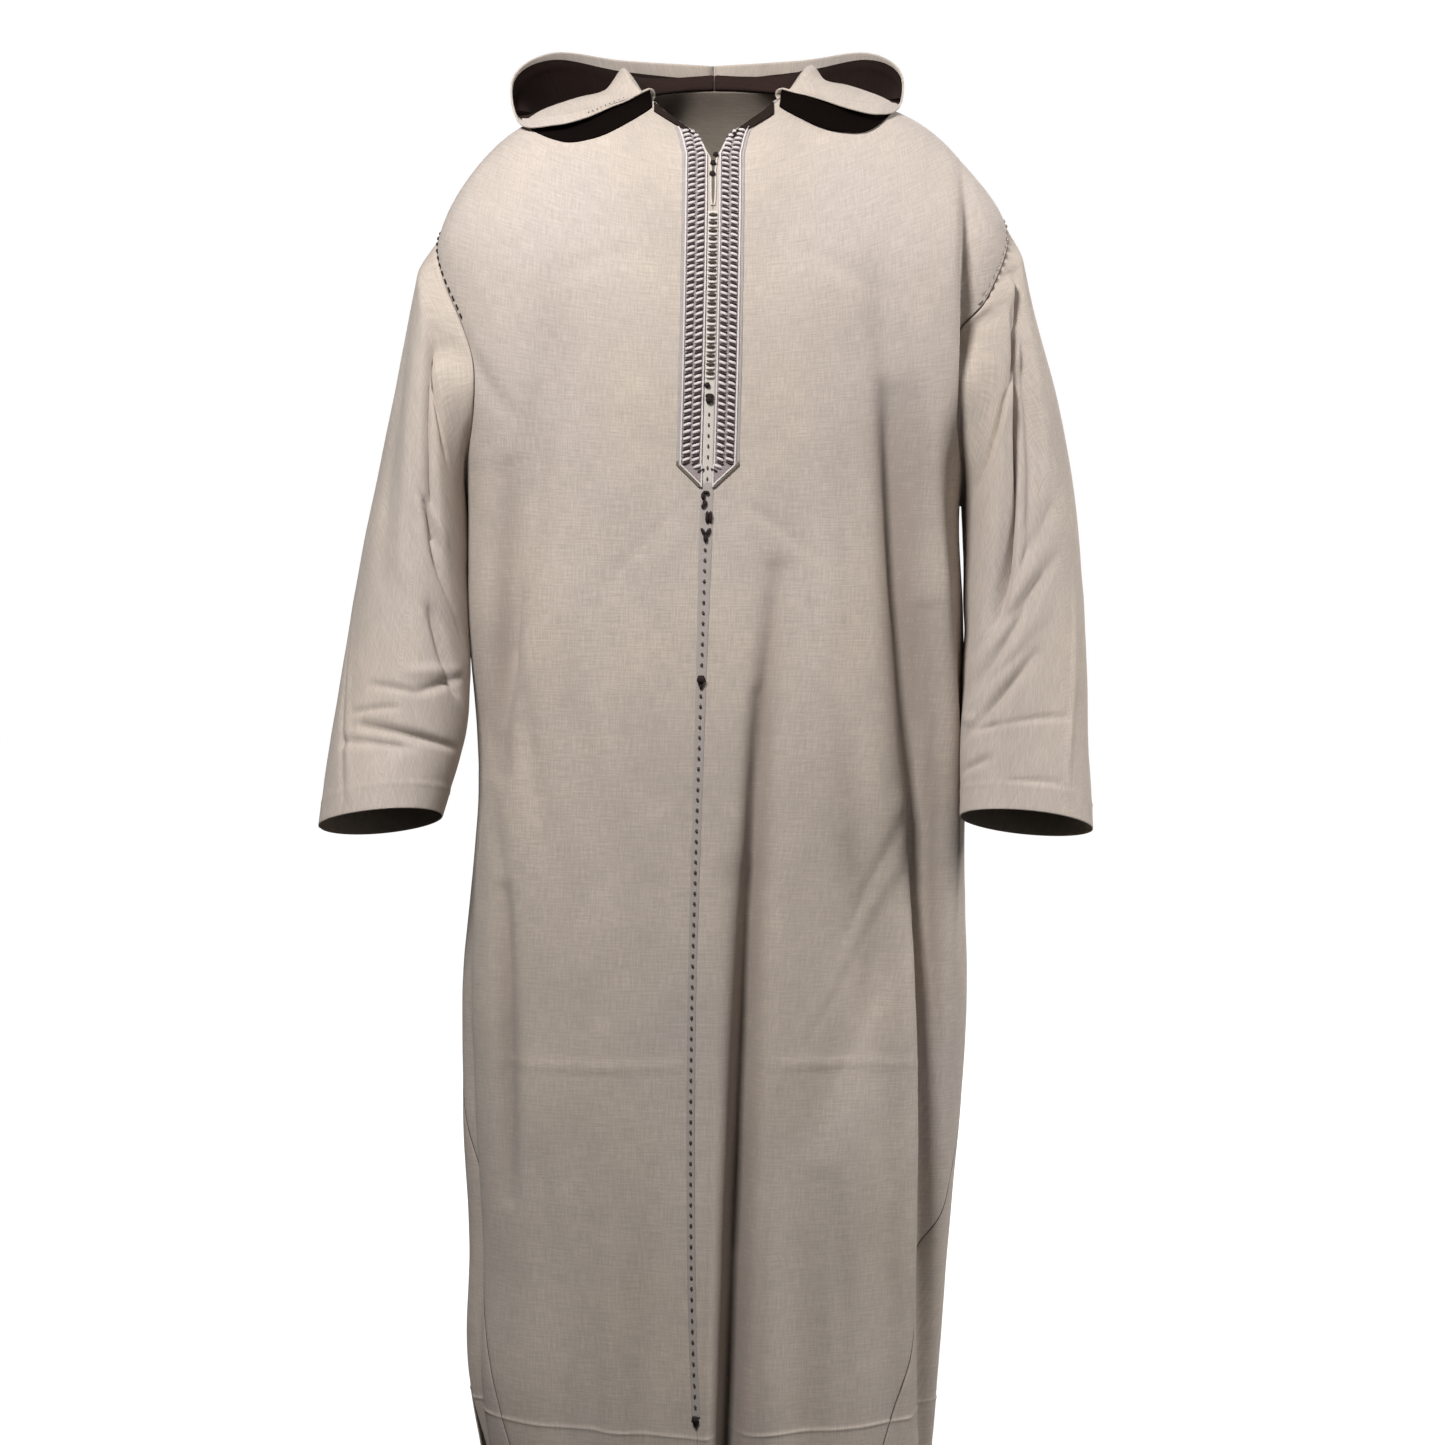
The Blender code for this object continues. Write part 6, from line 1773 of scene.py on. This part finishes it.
def turned_to(place, target):
    """The turn of a light or camera that looks from its place at its target."""
    return (Vector(target) - Vector(place)).to_track_quat("-Z", "Y").to_euler()


def area_light(name, place, target, size, power, colour):
    """A soft light that points at a target."""
    light = bpy.data.objects.new(name, bpy.data.lights.new(name, "AREA"))
    light.data.energy, light.data.size, light.data.color = power, size, colour
    light.location = place
    light.rotation_euler = turned_to(place, target)
    bpy.context.scene.collection.objects.link(light)


def stage_piece(name, mesh, colour, glow):
    """A part of the studio that the camera sees, and that throws no light on the robe."""
    piece = bpy.data.objects.new(name, mesh)
    bpy.context.scene.collection.objects.link(piece)
    material, _, shader = plain_finish(name, colour, 0.9)
    shader.inputs["Emission Color"].default_value = (1, 1, 1, 1)
    shader.inputs["Emission Strength"].default_value = glow
    mesh.materials.append(material)
    piece.visible_diffuse = piece.visible_glossy = piece.visible_transmission = False
    return piece


def make_floor():
    """A pale glowing floor with painted shade: it glows less under the robe than far from it."""
    mesh = bpy.data.meshes.new("floor")
    corners = [(x * FLOOR_HALF, y * FLOOR_HALF, FLOOR_Z) for x, y in ((-1, -1), (1, -1), (1, 1), (-1, 1))]
    mesh.from_pydata(corners, [], [(0, 1, 2, 3)])
    floor = stage_piece("floor", mesh, FLOOR_GREY, FLOOR_GLOW)
    tree = floor.data.materials[0].node_tree
    place = shader_node(tree, "ShaderNodeTexCoord")
    scaled = shader_node(tree, "ShaderNodeMapping", {"Scale": (1 / FLOOR_SHADE_POOL, 1 / FLOOR_SHADE_POOL, 0)})
    tree.links.new(place.outputs["Object"], scaled.inputs["Vector"])
    shade_pool = shader_node(tree, "ShaderNodeTexGradient", gradient_type="SPHERICAL")
    tree.links.new(scaled.outputs["Vector"], shade_pool.inputs["Vector"])
    glow = shader_node(tree, "ShaderNodeMapRange", {"To Min": 1.0, "To Max": FLOOR_GLOW})
    tree.links.new(shade_pool.outputs["Fac"], glow.inputs["Value"])
    tree.links.new(glow.outputs["Result"], tree.nodes["Principled BSDF"].inputs["Emission Strength"])


def make_backdrop():
    """A white ball round the whole studio."""
    mesh = bpy.data.meshes.new("backdrop")
    builder = bmesh.new()
    bmesh.ops.create_icosphere(builder, subdivisions=3, radius=BACKDROP_RADIUS)
    builder.to_mesh(mesh)
    builder.free()
    backdrop = stage_piece("backdrop", mesh, (0.0, 0.0, 0.0), 1.0)
    backdrop.visible_shadow = False


def make_studio():
    """The floor, the backdrop, the lights and the photograph's camera."""
    scene = bpy.context.scene
    scene.view_settings.view_transform = "Standard"
    make_floor()
    make_backdrop()
    for row in fold_rows(LIGHT_COLUMNS, LIGHTS):
        area_light(**row)
    world = bpy.data.worlds.new("studio")
    scene.world = world
    world.use_nodes = True
    background = world.node_tree.nodes["Background"]
    background.inputs["Color"].default_value = SKY_COLOUR
    background.inputs["Strength"].default_value = SKY
    camera = bpy.data.objects.new("camera", bpy.data.cameras.new("camera"))
    camera.data.lens = CAMERA_LENS
    camera.location = CAMERA_PLACE
    camera.rotation_euler = turned_to(CAMERA_PLACE, CAMERA_TARGET)
    scene.collection.objects.link(camera)
    scene.camera = camera


def stand_for(piece, name):
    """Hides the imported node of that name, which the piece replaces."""
    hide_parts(name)
    return piece


def declare_cloth(pieces):
    """Hides the imported node of each piece of cloth that the cut table lists."""
    for row in fold_rows(CUT_COLUMNS, CUTS):
        name = row["piece"]
        stand_for(pieces[name], name)


def main():
    """Dresses every part of the robe and sets up the studio."""
    finishes = make_finishes()
    # The body's inner faces and the hood's deep inside take painted shade.
    body = [finishes["wool"], finishes["inside"]]
    hood = [finishes["wool"], finishes["hood_inside_shade"]]
    pieces = {
        "front_left": dress_front("front_left", LEFT, body),
        "front_right": dress_front("front_right", RIGHT, body),
        "back": dress_back(body),
        "sleeve_left": dress_sleeve("sleeve_left", LEFT, SLEEVE_LEFT,
                                    SLEEVE_LEFT_FOLDS + SLEEVE_LEFT_CREASES, body),
        "sleeve_right": dress_sleeve("sleeve_right", RIGHT, SLEEVE_RIGHT,
                                     SLEEVE_RIGHT_FOLDS + SLEEVE_RIGHT_CREASES, body),
        "hood_left": dress_hood("hood_left", LEFT, HOOD_LEFT, hood),
        "hood_right": dress_hood("hood_right", RIGHT, HOOD_RIGHT, hood),
    }
    trims = {name: [] for name in pieces}
    for side, word, thread in ((LEFT, "left", "seam"), (RIGHT, "right", "knot")):
        for back in (False, True):
            name = ("back_gore_" if back else "front_gore_") + word
            pieces[name] = dress_gore(name, side, back, body)
        tape, others = dress_band(side, word, finishes)
        stand_for(tape, "placket_" + word)
        # Each front's trims include the neck's strip of painted shade.
        trims["front_" + word] += [tape, *others, dress_neck(side, word, finishes),
                                   dress_neck_shade(side, word, finishes["facing"]),
                                   dress_armhole(side, word, finishes[thread]),
                                   dress_gore_seams(side, word, finishes)]
    # The hood's trims include the sheets of painted shade under its front roll.
    trims["hood_right"] += [dress_hood_rim(RIGHT, HOOD_RIGHT, finishes),
                            dress_shade_below_hood(RIGHT, "right", HOOD_RIGHT, finishes["shade"])]
    trims["hood_left"].append(dress_shade_below_hood(LEFT, "left", HOOD_LEFT, finishes["shade"]))
    strip, others = dress_buttons(finishes)
    stand_for(strip, "button_row")
    trims["front_left"] += [strip, *others, *dress_seam(finishes)]
    for name in ORNAMENTS:
        trims["front_left"].append(stand_for(dress_motif(name, finishes), name))
    declare_cloth(pieces)
    make_studio()


main()
